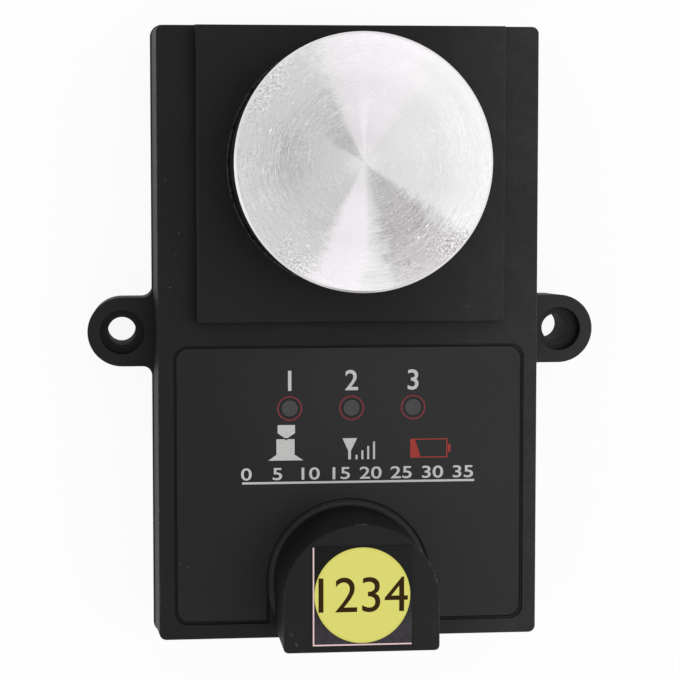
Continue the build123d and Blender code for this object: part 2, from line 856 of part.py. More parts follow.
# Door seal: flat gasket between the door and its seat
with BuildPart() as door_seal:
    with BuildSketch(level(door_plate_top)):
        add(door_outline(0))
        with Locations((0, cell_y)):
            Circle(cell_guide_radius, mode=Mode.SUBTRACT)
        with Locations(*door_screw_points):
            Circle(door_screw_radius + screw_clearance, mode=Mode.SUBTRACT)
    extrude(amount=door_seal_thickness)

# Door screws: countersunk
door_screw_face = door_sink + door_screw_sink
door_screw_neck = door_screw_face + door_screw_head_radius - door_screw_radius
with BuildPart() as door_screws:
    for x, y in door_screw_points:
        with BuildSketch(Plane(origin=(x, y, 0), x_dir=(1, 0, 0), z_dir=(0, -1, 0))):
            add(profile(
                (0, door_screw_face),
                (door_screw_head_radius, door_screw_face),
                (door_screw_radius, door_screw_neck),
                (door_screw_radius, door_screw_face + door_screw_length),
                (0, door_screw_face + door_screw_length),
            ))
        revolve(axis=Axis((x, y, 0), (0, 0, 1)))
        with BuildSketch(level(door_screw_face, x, y)):
            RegularPolygon(radius=door_screw_head_radius / 2, side_count=6)
        extrude(amount=door_screw_head_height / 2, mode=Mode.SUBTRACT)

# Cell spring: pushes the cell up against the top contact
battery_spring = coil(0, cell_y, door_plug_top, cell_bottom, cell_spring_radius, cell_spring_wire, cell_spring_turns)

# Front label: film in the lid's recess
with BuildPart() as front_label:
    with BuildSketch(level(top_z - label_recess_depth)):
        add(label_outline(label_edge_gap))
        with Locations(*indicator_points):
            Circle(pipe_radius + pipe_hole_clearance, mode=Mode.SUBTRACT)
    extrude(amount=label_thickness)

# Tower label and the round sticker on it
with BuildPart() as tower_label:
    with BuildSketch(level(tower_top, 0, tower_label_y)):
        Rectangle(tower_label_size, tower_label_size)
    extrude(amount=tower_label_thickness)

with BuildPart() as round_sticker:
    with BuildSketch(level(tower_top + tower_label_thickness, 0, sticker_y)):
        Circle(sticker_radius)
    extrude(amount=sticker_thickness)

pieces = {
    "lower_case": lower_case,
    "upper_case": upper_case,
    "case_gasket": case_gasket,
    "case_screws": case_screws,
    "contact_disc": contact_disc,
    "plunger_cup": plunger_cup,
    "disc_screws": disc_screws,
    "plunger_stem": plunger_stem,
    "guide_bush": guide_bush,
    "stop_bumper": stop_bumper,
    "stop_washer": stop_washer,
    "stem_clip": stem_clip,
    "return_spring": return_spring,
    "wiper_seal": wiper_seal,
    "shutter_pin": shutter_pin,
    "optical_sensor": optical_sensor,
    "main_board": main_board,
    "board_screws": board_screws,
    "indicator_leds": indicator_leds,
    "light_pipe_left": light_pipes[0],
    "light_pipe_middle": light_pipes[1],
    "light_pipe_right": light_pipes[2],
    "controller_chip": controller_chip,
    "radio_module": radio_module,
    "antenna": antenna,
    "battery": battery,
    "positive_contact": positive_contact,
    "negative_contact": negative_contact,
    "battery_spring": battery_spring,
    "battery_door": battery_door,
    "door_seal": door_seal,
    "door_screws": door_screws,
    "front_label": front_label,
    "tower_label": tower_label,
    "round_sticker": round_sticker,
}
os.makedirs("parts", exist_ok=True)
for label, piece in pieces.items():
    piece.part.label = label
    export_step(piece.part, f"parts/{label}.step")
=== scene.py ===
"""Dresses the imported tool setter: turned disc, moulded case, label print and inner pieces.

Every object is in metres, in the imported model's frame: +Z up, +Y towards the contact disc.
"""

import logging
import math
from dataclasses import dataclass, field
from enum import Enum
from typing import Any, Iterable, Optional, Sequence, Union

import bmesh
import bpy
from bpy.types import Material, Mesh, Node, NodeSocket, NodeTree, Object
from mathutils import Euler, Matrix, Vector


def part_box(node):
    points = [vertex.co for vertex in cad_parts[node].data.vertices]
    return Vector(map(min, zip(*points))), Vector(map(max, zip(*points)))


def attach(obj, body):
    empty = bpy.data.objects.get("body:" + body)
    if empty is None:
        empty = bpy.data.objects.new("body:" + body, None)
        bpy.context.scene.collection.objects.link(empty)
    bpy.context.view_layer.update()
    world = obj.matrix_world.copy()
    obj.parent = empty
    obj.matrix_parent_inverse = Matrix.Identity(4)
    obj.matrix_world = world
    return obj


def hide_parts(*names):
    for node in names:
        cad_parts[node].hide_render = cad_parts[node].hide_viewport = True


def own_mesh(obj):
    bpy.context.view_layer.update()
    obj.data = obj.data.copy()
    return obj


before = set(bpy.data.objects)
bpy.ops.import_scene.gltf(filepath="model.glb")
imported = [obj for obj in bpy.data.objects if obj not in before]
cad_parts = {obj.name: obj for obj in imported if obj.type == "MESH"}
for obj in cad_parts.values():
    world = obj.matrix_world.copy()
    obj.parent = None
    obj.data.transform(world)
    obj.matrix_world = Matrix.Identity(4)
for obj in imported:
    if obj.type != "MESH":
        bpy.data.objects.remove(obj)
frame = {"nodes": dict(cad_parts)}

LOG = logging.getLogger("tool_setter")
MM = 0.001

Colour = tuple[float, float, float, float]
Triple = tuple[float, float, float]
Point = tuple[float, float]
Span = tuple[float, float]
Box = tuple[float, float, float, float]
Outline = Sequence[Point]

WHITE: Colour = (1.0, 1.0, 1.0, 1.0)
WINDOWS = ("light_pipe_left", "light_pipe_middle", "light_pipe_right")


class Body(Enum):
    """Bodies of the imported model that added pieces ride."""

    HOUSING = "housing"


class Slot(Enum):
    """Material slots of the record that the added pieces' finishes belong to."""

    LABEL = "label_film"
    TOWER = "tower_film"
    STICKER = "yellow_paper"
    SPRING = "spring_steel"


def grey(level: float) -> Colour:
    """Linear grey with full alpha."""
    return (level, level, level, 1.0)


def rectangle(west: float, south: float, east: float, north: float) -> Outline:
    """Corners of a rectangle in the plan."""
    return [(west, south), (east, south), (east, north), (west, north)]


def centre_of(node: str) -> Vector:
    """Middle of a node's box at rest."""
    return sum(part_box(node), Vector()) / 2


def add_object(name: str, data: bpy.types.ID) -> Object:
    """Puts a new object into the scene.

    Args:
        name: the object's name.
        data: its mesh, lamp, camera or text.

    Returns:
        The object.
    """
    item = bpy.data.objects.new(name, data)
    bpy.context.scene.collection.objects.link(item)
    return item


class Signal:
    """Number from a node's output that takes part in Python expressions."""

    def __init__(self, tree: "Tree", socket: NodeSocket) -> None:
        """Wraps a socket of a tree."""
        self.tree = tree
        self.socket = socket

    def __add__(self, other: "Number") -> "Signal":
        """self + other."""
        return self.tree.math("ADD", self, other)

    __radd__ = __add__

    def __sub__(self, other: "Number") -> "Signal":
        """self - other."""
        return self.tree.math("SUBTRACT", self, other)

    def __rsub__(self, other: "Number") -> "Signal":
        """other - self."""
        return self.tree.math("SUBTRACT", other, self)

    def __mul__(self, other: "Number") -> "Signal":
        """self * other."""
        return self.tree.math("MULTIPLY", self, other)

    __rmul__ = __mul__

    def __truediv__(self, other: "Number") -> "Signal":
        """self / other."""
        return self.tree.math("DIVIDE", self, other)

    def __abs__(self) -> "Signal":
        """Distance from zero."""
        return self.tree.math("ABSOLUTE", self)

    def at_least(self, floor: "Number") -> "Signal":
        """The larger of this and a floor."""
        return self.tree.math("MAXIMUM", self, floor)

    def at_most(self, ceiling: "Number") -> "Signal":
        """The smaller of this and a ceiling."""
        return self.tree.math("MINIMUM", self, ceiling)

    def cosine(self) -> "Signal":
        """Cosine of an angle in radians."""
        return self.tree.math("COSINE", self)

    def step(self, low: float, high: float) -> "Signal":
        """Smooth step between two levels.

        Args:
            low: level that gives 0.
            high: level that gives 1; it may be below low.

        Returns:
            Number from 0 to 1.
        """
        kind, settings = "ShaderNodeMapRange", {"interpolation_type": "SMOOTHSTEP", "clamp": True}
        reached = self.tree.chain(kind, settings, Value=self, From_Min=low, From_Max=high)
        return Signal(self.tree, reached)


Number = Union[Signal, float, int]


class Tree:
    """Node tree that nodes are added to by type, settings and inputs."""

    def __init__(self, tree: NodeTree) -> None:
        """Takes over a tree and empties it."""
        self.tree = tree
        self.tree.nodes.clear()

    def add(
        self,
        kind: str,
        settings: Optional[dict[str, Any]] = None,
        inputs: Optional[dict[Union[str, int], Any]] = None,
    ) -> Node:
        """Adds one node.

        Args:
            kind: Blender's type name of the node.
            settings: the node's own options, set before its sockets.
            inputs: values, sockets or signals, by the sockets' names or numbers.

        Returns:
            The node.
        """
        node = self.tree.nodes.new(kind)
        for key, value in (settings or {}).items():
            setattr(node, key, value)
        for key, value in (inputs or {}).items():
            source = value.socket if isinstance(value, Signal) else value
            if isinstance(source, NodeSocket):
                self.tree.links.new(source, node.inputs[key])
            else:
                node.inputs[key].default_value = source
        return node

    def chain(
        self, kind: str, settings: Optional[dict[str, Any]] = None, **inputs: Any
    ) -> NodeSocket:
        """First output of a new node, whose inputs are named with _ for a space."""
        named = {key.replace("_", " "): value for key, value in inputs.items()}
        return self.add(kind, settings, named).outputs[0]

    def math(self, operation: str, *values: Number) -> Signal:
        """Result of a Math node on numbers, by Blender's name of the operation."""
        node = self.add("ShaderNodeMath", {"operation": operation}, dict(enumerate(values)))
        return Signal(self, node.outputs[0])

    def vector(self, x: Number, y: Number, z: Number) -> NodeSocket:
        """Vector of three numbers."""
        return self.add("ShaderNodeCombineXYZ", None, {0: x, 1: y, 2: z}).outputs[0]


class Paint(Tree):
    """Material's tree with the patterns that the finishes share."""

    def __init__(self, name: str) -> None:
        """Makes the material.

        Args:
            name: the material's name.
        """
        self.material = bpy.data.materials.new(name)
        self.material.use_nodes = True
        super().__init__(self.material.node_tree)

    def vectors(self, operation: str, first: Any, second: Any) -> NodeSocket:
        """Result of a Vector Math node on two vectors."""
        settings = {"operation": operation}
        return self.add("ShaderNodeVectorMath", settings, {0: first, 1: second}).outputs[0]

    def place(self, centre: Sequence[float] = (0.0, 0.0, 0.0)) -> NodeSocket:
        """Object coordinates from a centre, in metres."""
        coordinates = self.add("ShaderNodeTexCoord").outputs["Object"]
        return self.chain("ShaderNodeMapping", Vector=coordinates, Location=-Vector(centre))

    def axes(self, vector: NodeSocket) -> tuple[Signal, Signal, Signal]:
        """The three numbers of a vector."""
        outputs = self.add("ShaderNodeSeparateXYZ", None, {0: vector}).outputs
        return Signal(self, outputs[0]), Signal(self, outputs[1]), Signal(self, outputs[2])

    def distance(self, x: Signal, y: Signal) -> Signal:
        """Distance from the centre in the plan."""
        return self.math("SQRT", x * x + y * y)

    def noise(
        self, vector: NodeSocket, size: float, detail: float = 2.0, rough: float = 0.5
    ) -> Signal:
        """Soft noise around 0.5 with hills a size apart, and finer layers of some strength."""
        inputs = {"Vector": vector, "Scale": 1 / size, "Detail": detail, "Roughness": rough}
        return Signal(self, self.add("ShaderNodeTexNoise", None, inputs).outputs[0])

    def cells(self, vector: NodeSocket, size: float) -> Signal:
        """Distance to the nearest of points scattered a size apart, as a share of it."""
        return Signal(self, self.chain("ShaderNodeTexVoronoi", Vector=vector, Scale=1 / size))

    def specks(
        self, vector: NodeSocket, size: float, reach: Span, patch: float, cover: Span
    ) -> Signal:
        """Small specks that lie in patches.

        Args:
            vector: place.
            size: distance between the specks.
            reach: shares of size where a speck ends and where it is full.
            patch: distance between the patches.
            cover: levels of the patches' noise where specks begin and are full.

        Returns:
            Number from 0 to 1.
        """
        return self.cells(vector, size).step(*reach) * self.noise(vector, patch).step(*cover)

    def blend(self, share: Number, first: Any, second: Any) -> NodeSocket:
        """Colour that goes from the first to the second as share goes from 0 to 1."""
        inputs = {0: share, 6: first, 7: second}
        return self.add("ShaderNodeMix", {"data_type": "RGBA"}, inputs).outputs[2]

    def bump(self, height: Signal, depth: float) -> NodeSocket:
        """Normal tilted by a height whose 1 stands for a depth in metres."""
        return self.chain("ShaderNodeBump", Height=height, Distance=depth)

    def finish(self, **inputs: Any) -> Material:
        """Ends the tree in a Principled surface.

        Args:
            inputs: the surface's sockets, with _ for a space.

        Returns:
            The finished material.
        """
        surface = self.chain("ShaderNodeBsdfPrincipled", **inputs)
        self.add("ShaderNodeOutputMaterial", None, {"Surface": surface})
        return self.material


@dataclass(frozen=True)
class WornEdge:
    """Outline on a moulding whose edge is painted pale, partly as a painted highlight and partly as
    wear; a rectangle, or a circle where deep is 0.

    centre, wide and deep are the middle, half the width (or the radius) and half the depth;
    top is the edge's height and line its width. Pale bits lie a crumb apart in longer stretches.
    """

    centre: Point
    wide: float
    deep: float
    top: float
    line: float = 0.3 * MM
    wear: float = 0.5
    strength: float = 1.0
    crumb: float = 0.7 * MM
    stretch: float = 7 * MM

    def mask(self, paint: Paint, place: NodeSocket) -> Signal:
        """Where the edge is painted pale.

        Args:
            paint: the material's tree.
            place: Object coordinates.

        Returns:
            Number from 0 to 1.
        """
        x, y, z = paint.axes(place)
        x, y, line, top = x - self.centre[0], y - self.centre[1], self.line, self.top
        if self.deep:
            reach = (abs(x) - self.wide).at_least(abs(y) - self.deep)
        else:
            reach = abs(paint.distance(x, y) - self.wide) * -1
        band = reach.step(-line, -0.4 * line) * z.step(top - 2 * line, top - line)
        band = band * z.step(top + 2 * line, top + line) * reach.step(2 * line, line)
        fine, broad = 0.62 - 0.2 * self.wear, 0.6 - 0.3 * self.wear
        crumbs = paint.noise(place, self.crumb, 3.0, 0.7).step(fine, fine + 0.1)
        stretches = paint.noise(place, self.stretch).step(broad, broad + 0.1)
        return band * crumbs * stretches * self.strength


@dataclass(frozen=True)
class MouldedPlastic:
    """Black plastic from a spark-eroded mould: matt grain, flow clouds, dust, and edges painted
    pale as painted highlights and wear.

    A mottled painted sheen lightens the surface towards +X, between the two given sides.
    """

    name: str
    dark: Colour = grey(0.0035)
    pale: Colour = grey(0.0065)
    rough: float = 0.53
    shine: float = 0.23
    grain: float = 0.3 * MM
    grain_depth: float = 0.035 * MM
    cloud: float = 14 * MM
    scratch: float = 3 * MM
    tones: Span = (0.3, 0.72)
    dust: float = 2.6 * MM
    dust_reach: Span = (0.045, 0.02)
    dust_patch: float = 6 * MM
    dust_cover: Span = (0.5, 0.62)
    dust_colour: Colour = grey(0.15)
    haze: float = 0.0
    haze_colour: Colour = grey(0.1)
    haze_sides: Span = (4 * MM, 31 * MM)
    edges: tuple[WornEdge, ...] = ()
    worn_colour: Colour = grey(0.06)

    def make(self) -> Material:
        """Builds the finish.

        Returns:
            The material.
        """
        paint = Paint(self.name)
        place = paint.place()
        grain = paint.noise(place, self.grain, 2.0, 0.6)
        cloud = paint.noise(place, self.cloud, 3.0)
        scratch = paint.noise(place, self.scratch, 4.0, 0.7)
        specks = paint.specks(place, self.dust, self.dust_reach, self.dust_patch, self.dust_cover)
        base = paint.blend((cloud * 0.6 + grain * 0.4).step(*self.tones), self.dark, self.pale)
        # painted sheen: mottled lightening towards +X, standing in for the east lamp's gloss
        if self.haze:
            side = paint.axes(place)[0].step(*self.haze_sides) * self.haze
            sheen_mottle = (grain * 0.5 + scratch * 0.9 + cloud * 0.3 - 0.35).at_least(0.1)
            base = paint.blend(side * sheen_mottle * 2, base, self.haze_colour)
        # edges painted pale: painted highlights on edges and chamfers, mixed with wear
        for edge in self.edges:
            base = paint.blend(edge.mask(paint, place), base, self.worn_colour)
        return paint.finish(
            Base_Color=paint.blend(specks, base, self.dust_colour),
            Roughness=self.rough - 0.06 + cloud * 0.08 + scratch * 0.06 + specks * 0.2,
            Specular_IOR_Level=self.shine,
            Normal=paint.bump(grain, self.grain_depth),
        )


@dataclass(frozen=True)
class Wedge:
    """Sector of a turned face with painted reflection, lighter or darker.

    direction, spread and soft are in degrees from +X; gain is the change of lightness and blush
    its pinkness. root, heart and reach are shares of the radius: where it starts, is strongest,
    and has faded by the share fade.
    """

    direction: float
    spread: float
    soft: float
    gain: float
    blush: float = 0.0
    root: float = -0.2
    heart: float = 0.3
    reach: float = 1.0
    fade: float = 0.2

    def mask(self, angle: Signal, share: Signal) -> Signal:
        """Where the sector lies.

        Args:
            angle: direction from the disc's axis, in radians.
            share: distance from the axis as a share of the radius.

        Returns:
            Number from 0 to 1.
        """
        offset = (angle - math.radians(self.direction)).cosine()
        edge = math.cos(math.radians(self.spread + self.soft))
        core = math.cos(math.radians(max(self.spread - self.soft, 0.5)))
        away = share.step(self.heart, self.reach) * self.fade
        return offset.step(edge, core) * share.step(self.root, self.heart) * (1 - away)


@dataclass(frozen=True)
class Streaks:
    """Noise in arcs round an axis: arc is the noise's length for one radian, size its pitch."""

    arc: float
    size: float

    def place(self, paint: Paint, rays: Sequence[Signal], turned: Signal) -> NodeSocket:
        """Place in the noise, from the direction's cosine and sine and the distance."""
        return paint.vector(turned, rays[0] * self.arc, rays[1] * self.arc)

    def noise(self, paint: Paint, rays: Sequence[Signal], turned: Signal) -> Signal:
        """The noise around 0, from the same values."""
        return paint.noise(self.place(paint, rays, turned), self.size, 3.0, 0.65) - 0.5


@dataclass(frozen=True)
class TurnedAluminium:
    """Faced aluminium: rings and strokes of the tool, painted reflections in wedges, a painted
    highlight on the rim, painted glints and nicks.

    Lightness is a painted reflection: base and slope * share of the radius, more at the hub and
    less round dip_share. The side wall is painted dark as a reflection of the pad.
    """

    name: str
    centre: Point
    radius: float
    top: float
    chamfer: float = 0.35 * MM
    base: float = 0.505
    slope: float = 0.175
    dip: float = -0.029
    dip_share: float = 0.6
    dip_spread: float = 0.16
    hub: float = 0.096
    hub_share: float = 0.2
    chamfer_light: float = 0.95
    darkest: float = 0.2
    lightest: float = 0.97
    wall_lean: float = 0.6
    wall_base: float = 0.34
    wall_rough: float = 0.13
    rings: Streaks = Streaks(0.6 * MM, 0.2 * MM)
    strokes: Streaks = Streaks(1.8 * MM, 0.11 * MM)
    ragged: Streaks = Streaks(2.0 * MM, 0.3 * MM)
    bands: Streaks = Streaks(0.2 * MM, 1.9 * MM)
    ticks: Streaks = Streaks(6 * MM, 1.5 * MM)
    crinkle: float = 0.4 * MM
    grit: float = 0.22 * MM
    patch: float = 5 * MM
    ring_strength: float = 0.36
    stroke_strength: float = 0.58
    grit_strength: float = 0.2
    tick_strength: float = 0.3
    patch_strength: float = 0.06
    crinkle_sparkle: float = 0.2
    rim_sparkle: float = 0.08
    dark_gain: float = -4.5
    calm: float = 0.35
    calmest: float = 0.3
    anisotropy: float = 0.6
    grain_turn: float = 0.25
    blush_colour: Colour = (1.0, 0.945, 0.995, 1.0)
    rough: float = 0.3
    relief: float = 0.008 * MM
    wedges: tuple[Wedge, ...] = (
        Wedge(180, 64, 5, -0.085, 0.0, -0.05, 0.55, 1.0, 0.0),
        Wedge(133, 14, 6, -0.10, 0.5, -0.2, 0.12, 0.6, 1.0),
        Wedge(176, 16, 13, -0.06, 0.0, 0.2, 0.6, 0.95, 0.9),
        Wedge(225, 12, 8, 0.02, 0.4, 0.35, 0.62, 0.85, 0.6),
        Wedge(304, 19, 7, -0.205, 0.7, -0.15, 0.58, 1.0, 0.15),
        Wedge(309, 11, 6, -0.05, 0.0, -0.2, 0.1, 0.5, 1.0),
        Wedge(258, 15, 5, 0.15, 0.9, -0.1),
        Wedge(85, 25, 12, 0.07, 0.9),
        Wedge(45, 30, 20, 0.025, 0.2, fade=0.4),
        Wedge(2, 42, 14, -0.035, 0.0, 0.1, 0.9, 1.0, 0.0),
        Wedge(90, 3, 4, 0.07, 0.0, -0.1, 0.25, 0.7, 0.8),
    )
    crinkled: tuple[float, ...] = (-43, 236, 140)
    crinkled_spread: float = 15.0
    crinkled_rim: Span = (0.72, 0.95)

    def light(self, angle: Signal, share: Signal) -> tuple[Number, Number]:
        """Painted reflection that all wedges make together.

        Args:
            angle: direction from the disc's axis, in radians.
            share: distance from the axis as a share of the radius.

        Returns:
            Change of lightness, and pinkness.
        """
        lit: Number = 0.0
        blush: Number = 0.0
        for wedge in self.wedges:
            mask = wedge.mask(angle, share)
            lit = mask * wedge.gain + lit
            if wedge.blush:
                blush = mask * wedge.blush + blush
        return lit, blush

    def crumpled(self, angle: Signal, share: Signal) -> Number:
        """Where the rim is crinkled.

        Args:
            angle: direction from the disc's axis, in radians.
            share: distance from the axis as a share of the radius.

        Returns:
            Number from 0 to 1.
        """
        found: Number = 0.0
        edge = math.cos(math.radians(self.crinkled_spread))
        for direction in self.crinkled:
            offset = (angle - math.radians(direction)).cosine()
            found = offset.step(edge, 1.0) * share.step(*self.crinkled_rim) + found
        return found

    def make(self) -> Material:
        """Builds the finish.

        Returns:
            The material.
        """
        paint = Paint(self.name)
        place = paint.place((*self.centre, 0.0))
        x, y, z = paint.axes(place)
        radius = paint.distance(x, y)
        share = radius / self.radius
        angle = paint.math("ARCTAN2", y, x)
        arcs = (paint, (x / radius, y / radius), radius + z * self.wall_lean)
        rings, strokes = self.rings.noise(*arcs), self.strokes.noise(*arcs)
        crinkle = paint.noise(place, self.crinkle, 2.0, 0.7)
        grit = paint.noise(place, self.grit, 1.0, 0.5) - 0.5
        patches = paint.noise(place, self.patch, 3.0, 0.6)
        sway = (self.ragged.noise(*arcs) * 0.3 + (patches - 0.5) * 0.35) * share.step(0.0, 0.5)
        # painted reflections: the wedges' lighter and darker sectors and their pink tint
        lit, blush = self.light(angle + sway, share)
        crumpled = self.crumpled(angle + sway * 2, share)
        lively = (lit * self.dark_gain + self.calm).at_least(self.calmest).at_most(1.0)
        lively = lively * (0.6 + patches.step(0.4, 0.65) * 0.8)
        sparkle = crinkle.step(0.5, 0.7) - crinkle.step(0.5, 0.3)
        # painted reflection: lighter towards the rim, a brighter hub and a darker ring round
        # dip_share
        tone = share * self.slope + share.step(self.hub_share, 0.0) * self.hub + lit + self.base
        tone = abs(share - self.dip_share).step(self.dip_spread, 0.0) * self.dip + tone
        tone = tone + (patches - 0.5) * self.patch_strength
        marks = rings * self.ring_strength + strokes * self.stroke_strength
        tone = tone + (marks + grit * self.grit_strength) * lively
        # painted glints on the crinkled parts of the rim and, weaker, towards the rim
        rim = share.step(0.6, 0.95) * lively * self.rim_sparkle
        tone = tone + sparkle * (crumpled * self.crinkle_sparkle + rim)
        ticks = paint.cells(self.ticks.place(*arcs), self.ticks.size).step(0.1, 0.04)
        tone = tone + ticks * lively * self.tick_strength
        tone = tone.at_least(self.darkest).at_most(self.lightest)
        # painted highlight on the rim's chamfer
        inner, outer = self.radius - 1.1 * self.chamfer, self.radius - 0.95 * self.chamfer
        tone = tone + radius.step(inner, outer) * (self.chamfer_light - tone)
        wall = z.step(self.top - self.chamfer, self.top - 1.2 * self.chamfer)
        # side wall painted dark, a painted reflection of the black pad
        tone = tone + wall * (strokes * 0.2 + self.wall_base - tone)
        # painted pink tint of the reflected lamps
        tint = paint.blend(blush, WHITE, self.blush_colour)
        rough = self.bands.noise(*arcs) * 0.1 + self.rough + wall * (self.wall_rough - self.rough)
        relief = rings * 0.6 + strokes * 0.4 + crinkle * (crumpled * 1.2 + 0.1)
        return paint.finish(
            Base_Color=paint.vectors("MULTIPLY", tint, paint.vector(tone, tone, tone)),
            Metallic=1.0,
            Roughness=rough,
            Anisotropic=self.anisotropy,
            Anisotropic_Rotation=self.grain_turn,
            Normal=paint.bump(relief, self.relief),
        )


@dataclass(frozen=True)
class Film:
    """Printed plastic film: satin or glossy black, finely embossed, smeared, dusty, with a painted
    sheen lighter towards one side.
    """

    name: str
    colour: Colour = grey(0.009)
    smear_colour: Colour = grey(0.013)
    rough: float = 0.46
    shine: float = 0.26
    emboss: float = 0.3 * MM
    emboss_depth: float = 0.008 * MM
    smear: float = 9 * MM
    tones: Span = (0.35, 0.7)
    dust: float = 3.4 * MM
    dust_reach: Span = (0.035, 0.015)
    dust_patch: float = 8 * MM
    dust_cover: Span = (0.5, 0.6)
    dust_colour: Colour = grey(0.15)
    haze: float = 0.0
    haze_colour: Colour = grey(0.1)
    haze_sides: Span = (-24 * MM, 2 * MM)
    haze_axis: int = 0

    def make(self) -> Material:
        """Builds the finish.

        Returns:
            The material.
        """
        paint = Paint(self.name)
        place = paint.place()
        emboss = paint.noise(place, self.emboss)
        smears = paint.noise(place, self.smear, 4.0, 0.6)
        specks = paint.specks(place, self.dust, self.dust_reach, self.dust_patch, self.dust_cover)
        tones = (smears * 0.7 + emboss * 0.3).step(*self.tones)
        base = paint.blend(tones, self.colour, self.smear_colour)
        # painted sheen: mottled lightening towards one side of the chosen axis
        if self.haze:
            side = paint.axes(place)[self.haze_axis].step(*self.haze_sides) * self.haze
            base = paint.blend(side * (smears * 0.8 + emboss * 0.9 + 0.15), base, self.haze_colour)
        return paint.finish(
            Base_Color=paint.blend(specks, base, self.dust_colour),
            Roughness=self.rough + (smears - 0.5) * 0.14 + specks * 0.2,
            Specular_IOR_Level=self.shine,
            Normal=paint.bump(emboss, self.emboss_depth),
        )


@dataclass(frozen=True)
class Ink:
    """Screen-printed ink: slightly uneven cover over the film's emboss, darker where it is thin."""

    name: str
    colour: Colour
    thin: float = 0.396
    rough: float = 0.5
    shine: float = 0.3
    grain: float = 0.35 * MM
    cover: Span = (0.42, 0.2)
    depth: float = 0.006 * MM

    def make(self) -> Material:
        """Builds the finish.

        Returns:
            The material.
        """
        paint = Paint(self.name)
        cover = paint.noise(paint.place(), self.grain, 3.0, 0.6)
        worn = tuple(part * (1 - self.thin) for part in self.colour[:3]) + (1.0,)
        return paint.finish(
            Base_Color=paint.blend(cover.step(*self.cover), self.colour, worn),
            Roughness=self.rough + (cover - 0.5) * 0.15,
            Specular_IOR_Level=self.shine,
            Normal=paint.bump(cover, self.depth),
        )


@dataclass(frozen=True)
class StickerPaper:
    """Coated paper: fine fibres, soft mottling and a slightly soiled edge."""

    name: str
    centre: Point
    radius: float
    colour: Colour = (0.76, 0.725, 0.168, 1.0)
    shade: Colour = (0.66, 0.635, 0.125, 1.0)
    rough: float = 0.62
    shine: float = 0.3
    fibre: float = 0.5 * MM
    fibre_depth: float = 0.01 * MM
    mottle: float = 3 * MM
    rim: Span = (0.93, 1.02)
    tones: Span = (0.3, 1.0)

    def make(self) -> Material:
        """Builds the finish.

        Returns:
            The material.
        """
        paint = Paint(self.name)
        place = paint.place((*self.centre, 0.0))
        x, y, _ = paint.axes(place)
        fibres = paint.noise(paint.vector(x * 3, y, 0.0), self.fibre, 4.0, 0.65)
        mottle = paint.noise(place, self.mottle, 3.0)
        rim = paint.distance(x, y).step(*(share * self.radius for share in self.rim))
        tone = (fibres * 0.5 + mottle * 0.3 + rim * 0.6).step(*self.tones)
        return paint.finish(
            Base_Color=paint.blend(tone, self.colour, self.shade),
            Roughness=self.rough + fibres * 0.12,
            Specular_IOR_Level=self.shine,
            Normal=paint.bump(fibres, self.fibre_depth),
        )


@dataclass(frozen=True)
class Metal:
    """Bare or blackened metal with fine drawn or ground marks along one axis."""

    name: str
    colour: Colour
    stain_colour: Colour
    rough: float = 0.32
    along: Triple = (1.0, 1.0, 0.12)
    grain: float = 0.3 * MM
    stain: float = 5 * MM
    tones: Span = (0.35, 0.75)
    depth: float = 0.006 * MM

    def make(self) -> Material:
        """Builds the finish.

        Returns:
            The material.
        """
        paint = Paint(self.name)
        place = paint.place()
        marks = paint.noise(paint.vectors("MULTIPLY", place, self.along), self.grain, 3.0, 0.6)
        stains = paint.noise(place, self.stain, 3.0)
        tones = (stains * 0.6 + marks * 0.4).step(*self.tones)
        return paint.finish(
            Base_Color=paint.blend(tones, self.colour, self.stain_colour),
            Metallic=1.0,
            Roughness=self.rough + (marks - 0.5) * 0.2,
            Normal=paint.bump(marks, self.depth),
        )


@dataclass(frozen=True)
class SoftPlastic:
    """Plain-coloured plastic, rubber, lacquer or frosted lens with a mottled surface."""

    name: str
    colour: Colour
    shade: Colour
    rough: float = 0.5
    mottle: float = 1.2 * MM
    depth: float = 0.01 * MM
    glow: float = 0.0
    glow_depth: float = 0.5 * MM
    tones: Span = (0.3, 0.7)

    def make(self) -> Material:
        """Builds the finish.

        Returns:
            The material.
        """
        paint = Paint(self.name)
        place = paint.place()
        fine = paint.noise(place, self.mottle * 0.2, 2.0, 0.6)
        broad = paint.noise(place, self.mottle * 3, 3.0)
        tones = (fine * 0.4 + broad * 0.6).step(*self.tones)
        return paint.finish(
            Base_Color=paint.blend(tones, self.colour, self.shade),
            Roughness=self.rough + (broad - 0.5) * 0.16,
            Subsurface_Weight=self.glow,
            Subsurface_Scale=self.glow_depth,
            Normal=paint.bump(fine, self.depth),
        )


